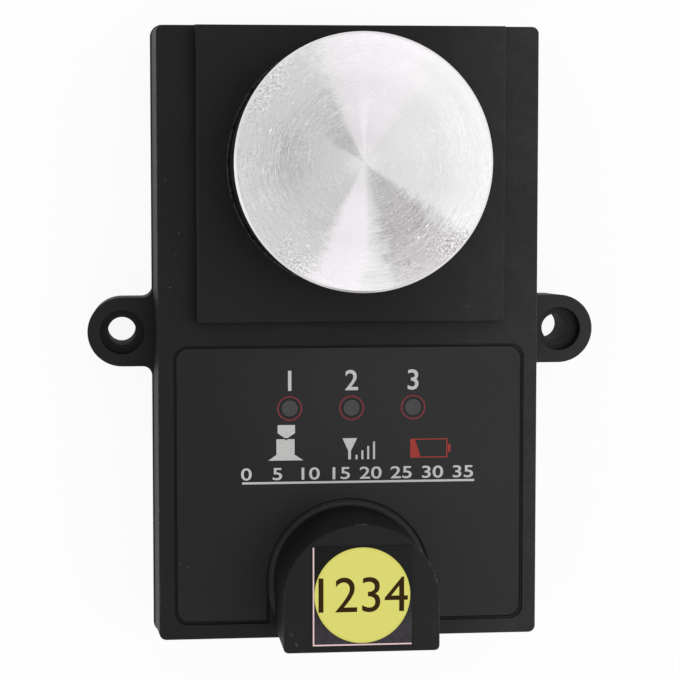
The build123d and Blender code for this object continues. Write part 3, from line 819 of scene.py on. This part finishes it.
class PieceMaker:
    """Turns outlines, texts and grown meshes into finished pieces that ride a body.

    Outlines are in millimetres of the plan, bottom and top in metres.
    """

    figure_share: float = 0.63
    figure_steps: int = 6

    @staticmethod
    def settle(mesh: Mesh, name: str, material: Material, slot: Slot) -> Object:
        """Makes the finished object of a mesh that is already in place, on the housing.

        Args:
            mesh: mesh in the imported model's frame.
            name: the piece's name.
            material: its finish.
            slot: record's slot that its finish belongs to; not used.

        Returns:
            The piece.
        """
        mesh.name = name
        mesh.materials.clear()
        mesh.materials.append(material)
        piece = add_object(name, mesh)
        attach(piece, Body.HOUSING.value)
        LOG.info("piece %s: %d faces", name, len(mesh.polygons))
        return piece

    @staticmethod
    def close(work: bmesh.types.BMesh, name: str) -> Mesh:
        """Ends the work on a mesh.

        Args:
            work: the mesh in work, which is used up.
            name: the mesh's name.

        Returns:
            The mesh.
        """
        mesh = bpy.data.meshes.new(name)
        work.to_mesh(mesh)
        work.free()
        return mesh

    @staticmethod
    def prisms(outlines: Iterable[Outline], bottom: float, top: float) -> Mesh:
        """Upright prisms over flat outlines.

        Args:
            outlines: the outlines.
            bottom: height of their lower faces.
            top: height of their upper faces.

        Returns:
            Closed mesh with outward faces.
        """
        work = bmesh.new()
        for outline in outlines:
            face = work.faces.new([work.verts.new((x * MM, y * MM, bottom)) for x, y in outline])
            raised = bmesh.ops.extrude_face_region(work, geom=[face])["geom"]
            moved = [part for part in raised if isinstance(part, bmesh.types.BMVert)]
            bmesh.ops.translate(work, verts=moved, vec=(0, 0, top - bottom))
        bmesh.ops.recalc_face_normals(work, faces=work.faces)
        return PieceMaker.close(work, "prisms")

    @staticmethod
    def band(outer: Outline, inner: Outline, bottom: float, top: float) -> Mesh:
        """Flat band between two closed outlines with the same number of points.

        Args:
            outer: outer outline.
            inner: inner outline.
            bottom: height of its lower face.
            top: height of its upper face.

        Returns:
            Closed mesh with outward faces.
        """
        work = bmesh.new()
        rails = [
            [work.verts.new((x * MM, y * MM, height)) for x, y in outline]
            for outline, height in ((outer, bottom), (outer, top), (inner, top), (inner, bottom))
        ]
        for rail, beside in zip(rails, rails[1:] + rails[:1]):
            for index in range(len(rail)):
                work.faces.new((rail[index - 1], rail[index], beside[index], beside[index - 1]))
        bmesh.ops.recalc_face_normals(work, faces=work.faces)
        return PieceMaker.close(work, "band")

    @classmethod
    def text(
        cls, words: str, size: float, foot: Point, bottom: float, top: float,
        weight: float = 0.0, width: float = 1.0, ends: Optional[Span] = None,
    ) -> Mesh:
        """Printed figures as a closed mesh.

        Args:
            words: the figures.
            size: height of the figures, in millimetres.
            foot: foot of the text in the plan, in millimetres.
            bottom: height of the lower face.
            top: height of the upper face.
            weight: how far the strokes are thickened, in millimetres.
            width: how far the figures are widened.
            ends: left and right end that the text is stretched between, instead of width.

        Returns:
            Mesh in place.
        """
        curve = bpy.data.curves.new("figures", "FONT")
        curve.body = words
        curve.align_x = "CENTER"
        curve.size = size / cls.figure_share
        curve.offset = weight
        curve.extrude = 0.5
        curve.resolution_u = cls.figure_steps
        holder = add_object("figures", curve)
        bpy.context.view_layer.update()
        graph = bpy.context.evaluated_depsgraph_get()
        mesh = bpy.data.meshes.new_from_object(holder.evaluated_get(graph))
        bpy.data.objects.remove(holder)
        middle = foot[0]
        if ends is not None:
            sides = [vertex.co.x for vertex in mesh.vertices]
            width = (ends[1] - ends[0]) / (max(sides) - min(sides))
            middle = ends[0] - min(sides) * width
        scale = Matrix.Diagonal((width * MM, MM, top - bottom, 1.0))
        place = Matrix.Translation((middle * MM, foot[1] * MM, (bottom + top) / 2))
        mesh.transform(place @ scale)
        return mesh

    @staticmethod
    def join(meshes: Sequence[Mesh]) -> Mesh:
        """One mesh of several that are in place.

        Args:
            meshes: the meshes, which are used up.

        Returns:
            The joined mesh.
        """
        work = bmesh.new()
        for mesh in meshes:
            work.from_mesh(mesh)
            bpy.data.meshes.remove(mesh)
        return PieceMaker.close(work, "joined")


class Growth(Tree):
    """Geometry Nodes tree with named inputs, which is baked into a plain mesh."""

    def __init__(self, name: str) -> None:
        """Makes an empty tree.

        Args:
            name: the tree's name.
        """
        self.group = bpy.data.node_groups.new(name, "GeometryNodeTree")
        super().__init__(self.group)
        self.socket("Geometry", "OUTPUT", "NodeSocketGeometry")
        self.source = self.add("NodeGroupInput")
        self.values: dict[str, Any] = {}

    def socket(self, name: str, way: str, kind: str) -> str:
        """Identifier of a new socket of the tree's interface."""
        made = self.group.interface.new_socket(name, in_out=way, socket_type=kind)
        return made.identifier

    def inputs(self, **values: Union[float, int, Material]) -> list[Signal]:
        """Adds named inputs with the values that the bake gives them.

        Args:
            values: numbers and materials by the inputs' names, with _ for a space.

        Returns:
            The inputs inside the tree, in order.
        """
        kinds = {int: "NodeSocketInt", float: "NodeSocketFloat"}
        names = [key.replace("_", " ") for key in values]
        for name, value in zip(names, values.values()):
            kind = kinds.get(type(value), "NodeSocketMaterial")
            self.values[self.socket(name, "INPUT", kind)] = value
        return [Signal(self, self.source.outputs[name]) for name in names]

    def line(self, count: Signal, start: NodeSocket, pitch: Signal) -> NodeSocket:
        """Points along +X.

        Args:
            count: how many.
            start: place of the first.
            pitch: distance between them.

        Returns:
            The points.
        """
        kind, step = "GeometryNodeMeshLine", self.vector(pitch, 0, 0)
        return self.chain(kind, {"mode": "OFFSET"}, Count=count, Start_Location=start, Offset=step)

    def bake(self, grown: NodeSocket, material: Signal) -> Mesh:
        """Ends the tree in Realize Instances and Set Material and bakes it.

        Args:
            grown: the geometry to end with.
            material: the material's input.

        Returns:
            Plain mesh.
        """
        real = self.chain("GeometryNodeRealizeInstances", Geometry=grown)
        dressed = self.chain("GeometryNodeSetMaterial", Geometry=real, Material=material)
        self.add("NodeGroupOutput", None, {"Geometry": dressed})
        carrier = add_object("carrier", bpy.data.meshes.new("carrier"))
        modifier = carrier.modifiers.new("growth", "NODES")
        modifier.node_group = self.group
        for identifier, value in self.values.items():
            modifier[identifier] = value
        bpy.context.view_layer.update()
        graph = bpy.context.evaluated_depsgraph_get()
        mesh = bpy.data.meshes.new_from_object(carrier.evaluated_get(graph))
        carrier.modifiers.remove(modifier)
        bpy.data.objects.remove(carrier)
        return mesh


@dataclass(frozen=True)
class Lamp:
    """Soft rectangular lamp that faces the tool setter; level is its brightness, 1 is white."""

    name: str
    place: Triple
    size: Span
    level: float
    colour: Triple = (1.0, 1.0, 1.0)

    def hang(self, target: Vector) -> None:
        """Makes the lamp.

        Args:
            target: point that it faces.
        """
        data = bpy.data.lights.new(self.name, "AREA")
        data.shape = "RECTANGLE"
        data.size, data.size_y = self.size
        data.energy = self.level * math.pi * self.size[0] * self.size[1]
        data.color = self.colour
        lamp = add_object(self.name, data)
        lamp.location = self.place
        lamp.rotation_euler = (target - Vector(self.place)).to_track_quat("-Z", "Y").to_euler()


@dataclass
class Studio:
    """White table, white surroundings, soft lamps and the camera above the tool setter."""

    eye: Triple = (-38.67 * MM, 23.70 * MM, 336.72 * MM)
    tilt: Triple = (-3.831, -5.117, -0.112)
    lens: float = 101.209
    shift: Span = (0.08, -0.03)
    clip: Span = (0.01, 10.0)
    table_half: float = 1.5
    table_gap: float = 0.05 * MM
    table_white: float = 0.92
    mirror_share: float = 0.35
    world_level: float = 0.68
    aim: Triple = (0.0, 0.0, 0.02)
    lamps: tuple[Lamp, ...] = (
        Lamp("east_box", (0.42, 0.05, 0.80), (0.60, 0.70), 1.25),
        Lamp("north_bar", (-0.06, 0.46, 0.62), (0.10, 0.30), 2.0, (1.0, 0.95, 0.98)),
        Lamp("south_bar", (-0.06, -0.46, 0.62), (0.10, 0.30), 2.0, (1.0, 0.95, 0.98)),
        Lamp("west_fill", (-0.60, -0.10, 0.40), (0.40, 0.40), 1.0),
    )

    def camera(self) -> None:
        """Places the camera at the photograph's angle."""
        data = bpy.data.cameras.new("camera")
        data.lens = self.lens
        data.shift_x, data.shift_y = self.shift
        data.clip_start, data.clip_end = self.clip
        camera = add_object("camera", data)
        camera.location = self.eye
        camera.rotation_euler = Euler([math.radians(turn) for turn in self.tilt], "XYZ")
        bpy.context.scene.camera = camera

    def world(self) -> None:
        """Lights the scene evenly; the camera sees white."""
        world = bpy.data.worlds.new("surroundings")
        world.use_nodes = True
        bpy.context.scene.world = world
        tree = Tree(world.node_tree)
        seen = Signal(tree, tree.add("ShaderNodeLightPath").outputs["Is Camera Ray"])
        strength = seen * (1 - self.world_level) + self.world_level
        sky = tree.chain("ShaderNodeBackground", Color=WHITE, Strength=strength)
        tree.add("ShaderNodeOutputWorld", None, {"Surface": sky})

    def table(self) -> None:
        """Lays the pale table, which keeps the object's shadow."""
        paint = Paint("table_white")
        path = paint.add("ShaderNodeLightPath").outputs
        seen, mirrored, through = (
            Signal(paint, path[f"Is {kind} Ray"]) for kind in ("Camera", "Glossy", "Transmission")
        )
        share = (seen + mirrored * self.mirror_share + through).at_most(1.0) * self.table_white
        diffuse = paint.chain("ShaderNodeBsdfDiffuse", Color=WHITE)
        glow = paint.chain("ShaderNodeEmission", Color=WHITE, Strength=1.0)
        both = paint.add("ShaderNodeMixShader", None, {0: share, 1: diffuse, 2: glow}).outputs[0]
        paint.add("ShaderNodeOutputMaterial", None, {"Surface": both})
        half = self.table_half
        corners = [(x, y, -self.table_gap) for x, y in rectangle(-half, -half, half, half)]
        mesh = bpy.data.meshes.new("table")
        mesh.from_pydata(corners, [], [(0, 1, 2, 3)])
        mesh.materials.append(paint.material)
        add_object("table", mesh)

    def build(self) -> None:
        """Sets up everything round the object."""
        bpy.context.scene.view_settings.view_transform = "Standard"
        self.camera()
        self.world()
        self.table()
        for lamp in self.lamps:
            lamp.hang(Vector(self.aim))
        LOG.info("studio: camera, white surroundings, table and %d lamps", len(self.lamps))


@dataclass
class Wardrobe:
    """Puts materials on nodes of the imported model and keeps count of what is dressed."""

    nodes: dict[str, Object]
    dressed: set[str] = field(default_factory=set)

    def put(self, material: Material, *names: str) -> None:
        """Gives nodes a material.

        Args:
            material: the finish.
            names: nodes that get it.
        """
        for name in names:
            slots = self.nodes[name].material_slots
            if not slots:
                self.nodes[name].data.materials.append(material)
            for slot in slots:
                slot.material = material
            self.dressed.add(name)
        LOG.info("%s on %s", material.name, ", ".join(names))

    def check(self) -> None:
        """Reports nodes that no class has dressed."""
        left = sorted(set(self.nodes) - self.dressed)
        if left:
            LOG.warning("not dressed: %s", ", ".join(left))


@dataclass
class CaseShells:
    """Upper and lower moulded shells with the battery door and the seals between them."""

    pad_half: Point = (25.55 * MM, 24.45 * MM)
    pad_middle: float = 26.35 * MM
    pad_top: float = 26.4 * MM
    deck_half: Point = (31.75 * MM, 50.85 * MM)
    deck_top: float = 22.5 * MM
    well_radius: float = 20.25 * MM
    tower_middle: float = -41.3 * MM
    tower_radius: float = 12.4 * MM
    tower_top: float = 39.6 * MM
    dust_radius: float = 13.2 * MM
    dust_wide: float = 0.65 * MM
    # strength of the painted sheen that lightens the shells towards +X
    haze: float = 0.16
    sleeve: MouldedPlastic = MouldedPlastic(
        "sleeve_black", grey(0.005), grey(0.008), rough=0.48, shine=0.3
    )
    rubber: SoftPlastic = SoftPlastic("seal_black", grey(0.012), grey(0.02), 0.7)

    def plastic(self) -> MouldedPlastic:
        """The shells' finish, pale along the pad's and deck's edges (painted highlight and wear),
        round the well's mouth (painted highlight) and on the tower's edge, dusty round the tower's
        foot, with a painted sheen towards +X.

        Returns:
            The finish.
        """
        well, tower = tuple(centre_of("contact_disc").xy), (0.0, self.tower_middle)
        edges = (
            WornEdge((0.0, self.pad_middle), *self.pad_half, self.pad_top),
            WornEdge((0.0, 0.0), *self.deck_half, self.deck_top),
            # painted highlight on the well mouth's chamfer, where the east lamps would catch it
            WornEdge(well, self.well_radius, 0.0, self.pad_top, wear=1.0),
            WornEdge(tower, self.tower_radius, 0.0, self.tower_top, 0.25 * MM, 0.4),
            WornEdge(tower, self.dust_radius, 0.0, self.deck_top, self.dust_wide, 1.6, 0.42),
        )
        return MouldedPlastic("case_black", haze=self.haze, edges=edges)

    def dress(self, wardrobe: Wardrobe) -> None:
        """Gives the shells, sleeve and seals their finish.

        Args:
            wardrobe: the nodes.
        """
        wardrobe.put(self.plastic().make(), "lower_case", "upper_case", "battery_door")
        wardrobe.put(self.sleeve.make(), "plunger_cup")
        wardrobe.put(self.rubber.make(), "case_gasket", "wiper_seal", "door_seal", "stop_bumper")


@dataclass
class ContactDisc:
    """Turned aluminium disc that the tool's tip presses."""

    node: str = "contact_disc"

    def dress(self, wardrobe: Wardrobe) -> None:
        """Gives the disc its turned finish, centred on its axis.

        Args:
            wardrobe: the nodes.
        """
        low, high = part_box(self.node)
        axis, radius = tuple(centre_of(self.node).xy), (high.x - low.x) / 2
        wardrobe.put(TurnedAluminium("turned_aluminium", axis, radius, high.z).make(), self.node)


@dataclass
class FrontLabel:
    """Overlay film with ringed windows, pictograms and plain figures; sizes in millimetres."""

    ring_radius: float = 1.96
    ring_line: float = 0.24
    ring_steps: int = 72
    print_thickness: float = 0.02
    figure_size: float = 3.0
    figure_foot: float = -9.3
    figure_weight: float = 0.05
    row_size: float = 1.8
    row_foot: float = -24.2
    row_west: float = -17.15
    row_step: float = 5.2
    row_count: int = 8
    row_value: int = 5
    row_weight: float = 0.03
    row_width: float = 1.35
    underline: Box = (-17.86, -24.9, 21.19, -24.54)
    bar_count: int = 4
    bar_foot: float = -20.95
    bar_west: float = 1.28
    bar_pitch: float = 0.98
    bar_width: float = 0.33
    bar_low: float = 0.75
    bar_rise: float = 0.73
    cutter: Outline = (
        (-11.93, -15.05), (-11.93, -16.4), (-10.75, -17.22), (-10.22, -17.22), (-9.03, -16.4),
        (-9.03, -15.05),
    )
    block: Outline = (
        (-12.13, -17.42), (-10.74, -17.42), (-10.49, -17.67), (-10.24, -17.42), (-9.1, -17.42),
        (-9.1, -20.02), (-7.65, -20.98), (-13.5, -20.98), (-12.13, -20.02),
    )
    aerial: Outline = (
        (-1.08, -17.39), (1.38, -17.39), (0.34, -19.5), (0.34, -20.95), (-0.12, -20.95),
        (-0.12, -19.5),
    )
    battery: Box = (10.33, -20.82, 16.6, -17.62)
    battery_line: float = 0.17
    battery_pole: Box = (16.7, -19.9, 17.12, -18.58)
    charge: Span = (0.8, 1.75)
    border: float = 0.22
    corner_radius: float = 2.2
    notch_radius: float = 13.65
    notch_centre: float = -41.3
    arc_step: int = 4
    # the film carries a painted sheen, lighter towards +X
    film: Film = Film(
        "label_film_black", grey(0.0045), grey(0.007), emboss_depth=0.012 * MM, haze=0.085
    )
    white: Ink = Ink("ink_pale", (0.58, 0.58, 0.57, 1.0))
    red: Ink = Ink("ink_red", (0.22, 0.03, 0.038, 1.0))
    red_lamp: Ink = Ink("ink_battery_red", (0.36, 0.028, 0.022, 1.0))
    black: Ink = Ink("ink_black", grey(0.005), rough=0.6, shine=0.1)
    window: SoftPlastic = SoftPlastic("window_grey", grey(0.036), grey(0.027), 0.42, 0.6 * MM)

    def dress(self, wardrobe: Wardrobe) -> None:
        """Gives the film and the windows their finish."""
        wardrobe.put(self.film.make(), "front_label")
        wardrobe.put(self.window.make(), *WINDOWS)

    def heights(self) -> Span:
        """Lower and upper height of the print on the film, in metres."""
        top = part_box("front_label")[1].z
        return top, top + self.print_thickness * MM

    def rings(self, material: Material) -> Mesh:
        """Grows a printed ring round each window.

        Args:
            material: the ink.

        Returns:
            Mesh of the rings.
        """
        bottom, top = self.heights()
        first, last = centre_of(WINDOWS[0]), centre_of(WINDOWS[-1])
        growth = Growth("window_rings")
        count, radius, line, thick, west, pitch, row, film, ink = growth.inputs(
            Windows=len(WINDOWS),
            Ring_Radius=self.ring_radius * MM,
            Line_Width=self.ring_line * MM,
            Print_Thickness=top - bottom,
            First_Window=first.x,
            Window_Pitch=(last.x - first.x) / (len(WINDOWS) - 1),
            Row=first.y,
            Film_Height=bottom,
            Ink=material,
        )
        points = growth.line(count, growth.vector(west, row, film + thick / 2), pitch)
        kind = "GeometryNodeCurvePrimitive"
        path = growth.chain(kind + "Circle", Resolution=self.ring_steps, Radius=radius)
        section = growth.chain(kind + "Quadrilateral", Width=line, Height=thick)
        ring = growth.chain("GeometryNodeCurveToMesh", Curve=path, Profile_Curve=section)
        rings = growth.chain("GeometryNodeInstanceOnPoints", Points=points, Instance=ring)
        return growth.bake(rings, ink)

    def bars(self, material: Material) -> Mesh:
        """Grows the signal bars, each taller than the last.

        Args:
            material: the ink.

        Returns:
            Mesh of the bars.
        """
        bottom, top = self.heights()
        growth = Growth("signal_bars")
        count, west, pitch, foot, width, low, rise, thick, film, ink = growth.inputs(
            Bars=self.bar_count,
            First_Bar=self.bar_west * MM,
            Bar_Pitch=self.bar_pitch * MM,
            Foot=self.bar_foot * MM,
            Bar_Width=self.bar_width * MM,
            First_Height=self.bar_low * MM,
            Rise=self.bar_rise * MM,
            Print_Thickness=top - bottom,
            Film_Height=bottom,
            Ink=material,
        )
        points = growth.line(count, growth.vector(west, foot, film), pitch)
        cube = growth.chain("GeometryNodeMeshCube", Size=(1.0, 1.0, 1.0))
        block = growth.chain("GeometryNodeTransform", Geometry=cube, Translation=(0.0, 0.5, 0.5))
        number = Signal(growth, growth.chain("GeometryNodeInputIndex"))
        size = growth.vector(width, low + number * rise, thick)
        kind = "GeometryNodeInstanceOnPoints"
        return growth.bake(growth.chain(kind, Points=points, Instance=block, Scale=size), ink)

    def battery_sign(self) -> list[Outline]:
        """Battery sign's frame, charge and pole.

        Returns:
            Their outlines.
        """
        west, south, east, north = self.battery
        line, (start, end) = self.battery_line, self.charge
        left, low, right, high = west + line, south + line, east - line, north - line
        return [
            rectangle(west, high, east, north),
            rectangle(west, south, east, low),
            rectangle(right, low, east, high),
            rectangle(west, low, left, high),
            [(left, high), (west + start, high), (west + end, low), (left, low)],
            rectangle(*self.battery_pole),
        ]

    def figures(self) -> Mesh:
        """Plain figures over the windows and the figure row above its underline.

        Returns:
            Mesh of the figures.
        """
        heights, meshes = self.heights(), []
        for number, node in enumerate(WINDOWS, 1):
            size, foot = self.figure_size, (centre_of(node).x / MM, self.figure_foot)
            meshes.append(PieceMaker.text(str(number), size, foot, *heights, self.figure_weight))
        for number in range(self.row_count):
            words, shape = str(self.row_value * number), (self.row_weight, self.row_width)
            foot = (self.row_west + number * self.row_step, self.row_foot)
            meshes.append(PieceMaker.text(words, self.row_size, foot, *heights, *shape))
        meshes.append(PieceMaker.prisms([rectangle(*self.underline)], *heights))
        return PieceMaker.join(meshes)

    def outline(self, inset: float) -> Outline:
        """Film's outline with its notch round the battery tower.

        Args:
            inset: how far it is moved in.

        Returns:
            Points of the closed outline, the same number for each inset.
        """
        low, high = (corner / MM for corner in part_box("front_label"))
        corner, notch, foot = self.corner_radius - inset, self.notch_radius + inset, low.y + inset
        west, east = low.x + inset + corner, high.x - inset - corner
        south, north = foot + corner, high.y - inset - corner
        arcs = (
            (east, south, corner, -90, 0), (east, north, corner, 0, 90),
            (west, north, corner, 90, 180), (west, south, corner, 180, 270),
            (-notch, foot, 0.0, 0, 0), (0.0, self.notch_centre, notch, 180, 0),
            (notch, foot, 0.0, 0, 0),
        )
        points = []
        for x, y, radius, first, last in arcs:
            count = 1 + abs(last - first) // self.arc_step
            for step in range(count):
                angle = math.radians(first + (last - first) * step / max(count - 1, 1))
                points.append((x + radius * math.cos(angle), y + radius * math.sin(angle)))
        return points

    def build(self) -> None:
        """Builds the print."""
        heights = self.heights()
        white, red = self.white.make(), self.red.make()
        signs = PieceMaker.prisms([self.cutter, self.block, self.aerial], *heights)
        battery = PieceMaker.prisms(self.battery_sign(), *heights)
        border = PieceMaker.band(self.outline(0.0), self.outline(self.border), *heights)
        for mesh, name, ink in (
            (self.rings(red), "window_rings", red),
            (self.bars(white), "signal_bars", white),
            (signs, "probe_and_aerial_signs", white),
            (battery, "battery_sign", self.red_lamp.make()),
            (self.figures(), "label_figures", white),
            (border, "label_border", self.black.make()),
        ):
            PieceMaker.settle(mesh, name, ink, Slot.LABEL)


@dataclass
class TowerLabel:
    """Glossy label with a fine pale pink line, a painted highlight, along its west and south edges
    and a painted pinkish reflection towards -Y, under a round yellow sticker; in millimetres.
    """

    line: float = 0.22
    inset: float = 0.06
    figure_size: float = 5.05
    figure_foot: float = -42.8
    figure_ends: Span = (-7.0, 7.25)
    figures: str = "1234"
    print_thickness: float = 0.02
    # painted pinkish reflection on the glossy film, lighter towards -Y
    film: Film = Film(
        "tower_film_black", grey(0.0015), grey(0.003), 0.2, 0.16, 0.8 * MM, 0.004 * MM,
        haze=0.45, haze_colour=(0.085, 0.072, 0.09, 1.0), haze_sides=(-39 * MM, -46 * MM),
        haze_axis=1,
    )
    # pale pink ink for the painted highlight along the label's edges
    pink: Ink = Ink("ink_edge_pink", (0.86, 0.62, 0.62, 1.0), thin=0.132)
    brown: Ink = Ink("ink_brown", (0.032, 0.016, 0.002, 1.0), thin=0.22, shine=0.08)

    def dress(self, wardrobe: Wardrobe) -> None:
        """Gives the label and the sticker their finish.

        Args:
            wardrobe: the nodes.
        """
        low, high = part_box("round_sticker")
        middle = tuple(centre_of("round_sticker").xy)
        wardrobe.put(self.film.make(), "tower_label")
        paper = StickerPaper("sticker_yellow", middle, (high.x - low.x) / 2)
        wardrobe.put(paper.make(), "round_sticker")

    def edge_line(self) -> Mesh:
        """Painted highlight: pale line along the label's west and south edges.

        Returns:
            Mesh of the line.
        """
        low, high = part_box("tower_label")
        west, south = low.x / MM + self.inset, low.y / MM + self.inset
        east, north = high.x / MM - self.inset, high.y / MM - self.inset
        inner = south + self.line
        lines = rectangle(west, inner, west + self.line, north), rectangle(west, south, east, inner)
        return PieceMaker.prisms(lines, high.z, high.z + self.print_thickness * MM)

    def build(self) -> None:
        """Builds the painted edge highlight and the sticker's figures."""
        foot, bottom = (0.0, self.figure_foot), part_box("round_sticker")[1].z
        top = bottom + self.print_thickness * MM
        figures = PieceMaker.text(
            self.figures, self.figure_size, foot, bottom, top, ends=self.figure_ends
        )
        PieceMaker.settle(self.edge_line(), "tower_label_line", self.pink.make(), Slot.TOWER)
        PieceMaker.settle(figures, "sticker_figures", self.brown.make(), Slot.STICKER)


@dataclass
class ReturnSpring:
    """Wire spring from the well's floor to the plunger's cup, shorter as the disc is pressed."""

    wire: float = 0.6 * MM
    turns: float = 5.0
    travel: float = 5.0 * MM
    turn_steps: int = 56
    wire_sides: int = 14
    joint: str = "disc_press"
    node: str = "return_spring"

    def coil(self, material: Material) -> Mesh:
        """Grows the wire along its helix.

        Args:
            material: the wire's finish.

        Returns:
            Mesh of the spring at rest.
        """
        low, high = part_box(self.node)
        middle = centre_of(self.node)
        growth = Growth("return_spring_coil")
        radius, wire, turns, length, foot, axis_x, axis_y, steel = growth.inputs(
            Coil_Radius=(high.x - low.x) / 2 - self.wire,
            Wire_Radius=self.wire,
            Turns=self.turns,
            Length=high.z - low.z,
            Foot=low.z,
            Axis_X=middle.x,
            Axis_Y=middle.y,
            Steel=material,
        )
        helix = growth.chain(
            "GeometryNodeCurveSpiral", Resolution=self.turn_steps, Rotations=turns,
            Start_Radius=radius, End_Radius=radius, Height=length - wire * 2,
        )
        start = growth.vector(axis_x, axis_y, foot + wire)
        path = growth.chain("GeometryNodeTransform", Geometry=helix, Translation=start)
        kind, sides = "GeometryNodeCurvePrimitiveCircle", self.wire_sides
        section = growth.chain(kind, Resolution=sides, Radius=wire)
        kind = "GeometryNodeCurveToMesh"
        coil = growth.chain(kind, Curve=path, Profile_Curve=section, Fill_Caps=True)
        return growth.bake(coil, steel)

    def build(self, material: Material) -> None:
        """Builds the spring and hides the imported one.

        Args:
            material: the wire's finish.
        """
        piece = PieceMaker.settle(self.coil(material), "return_spring_coil", material, Slot.SPRING)
        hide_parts(self.node)
        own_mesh(piece)


@dataclass
class InnerPieces:
    """Plunger guide, circuit board and battery parts inside the case, and the screws."""

    spring: Metal = Metal("spring_wire", grey(0.5), grey(0.36), 0.34, (1.0, 1.0, 1.0))
    springs: tuple[str, ...] = (
        "return_spring", "stem_clip", "positive_contact", "negative_contact", "battery_spring",
    )
    finishes: tuple[tuple[Union[Metal, SoftPlastic], tuple[str, ...]], ...] = (
        (Metal("ground_steel", grey(0.56), grey(0.42), 0.3),
         ("plunger_stem", "stop_washer", "shutter_pin", "board_screws")),
        (Metal("black_oxide_steel", grey(0.045), grey(0.07), 0.42),
         ("case_screws", "disc_screws", "door_screws")),
        (Metal("sintered_bronze", (0.50, 0.32, 0.15, 1.0), (0.36, 0.22, 0.11, 1.0), 0.45),
         ("guide_bush",)),
        (Metal("plated_wire", (0.66, 0.44, 0.22, 1.0), (0.5, 0.32, 0.16, 1.0), 0.3),
         ("antenna",)),
        (Metal("tinned_can", grey(0.62), grey(0.5), 0.28, (0.2, 1.0, 1.0)), ("radio_module",)),
        (SoftPlastic("board_green", (0.012, 0.09, 0.035, 1.0), (0.01, 0.06, 0.025, 1.0), 0.35),
         ("main_board",)),
        (SoftPlastic("chip_black", grey(0.018), grey(0.026)),
         ("optical_sensor", "controller_chip")),
        (SoftPlastic("lamp_milky", (0.78, 0.77, 0.7, 1.0), (0.66, 0.65, 0.58, 1.0), 0.3, glow=0.2),
         ("indicator_leds",)),
        (SoftPlastic("cell_wrapping", (0.22, 0.27, 0.3, 1.0), (0.18, 0.22, 0.25, 1.0), 0.3, 2 * MM),
         ("battery",)),
    )

    def dress(self, wardrobe: Wardrobe) -> None:
        """Gives the inner pieces and the screws their finish and builds the spring.

        Args:
            wardrobe: the nodes.
        """
        for finish, names in self.finishes:
            wardrobe.put(finish.make(), *names)
        wire = self.spring.make()
        wardrobe.put(wire, *self.springs)
        ReturnSpring().build(wire)


def main() -> None:
    """Builds the studio and dresses every piece in order."""
    logging.basicConfig(level=logging.INFO, format="%(name)s: %(message)s")
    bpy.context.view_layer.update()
    wardrobe = Wardrobe(frame["nodes"])
    Studio().build()
    CaseShells().dress(wardrobe)
    ContactDisc().dress(wardrobe)
    for label in (FrontLabel(), TowerLabel()):
        label.dress(wardrobe)
        label.build()
    InnerPieces().dress(wardrobe)
    wardrobe.check()


if __name__ == "__main__":
    main()
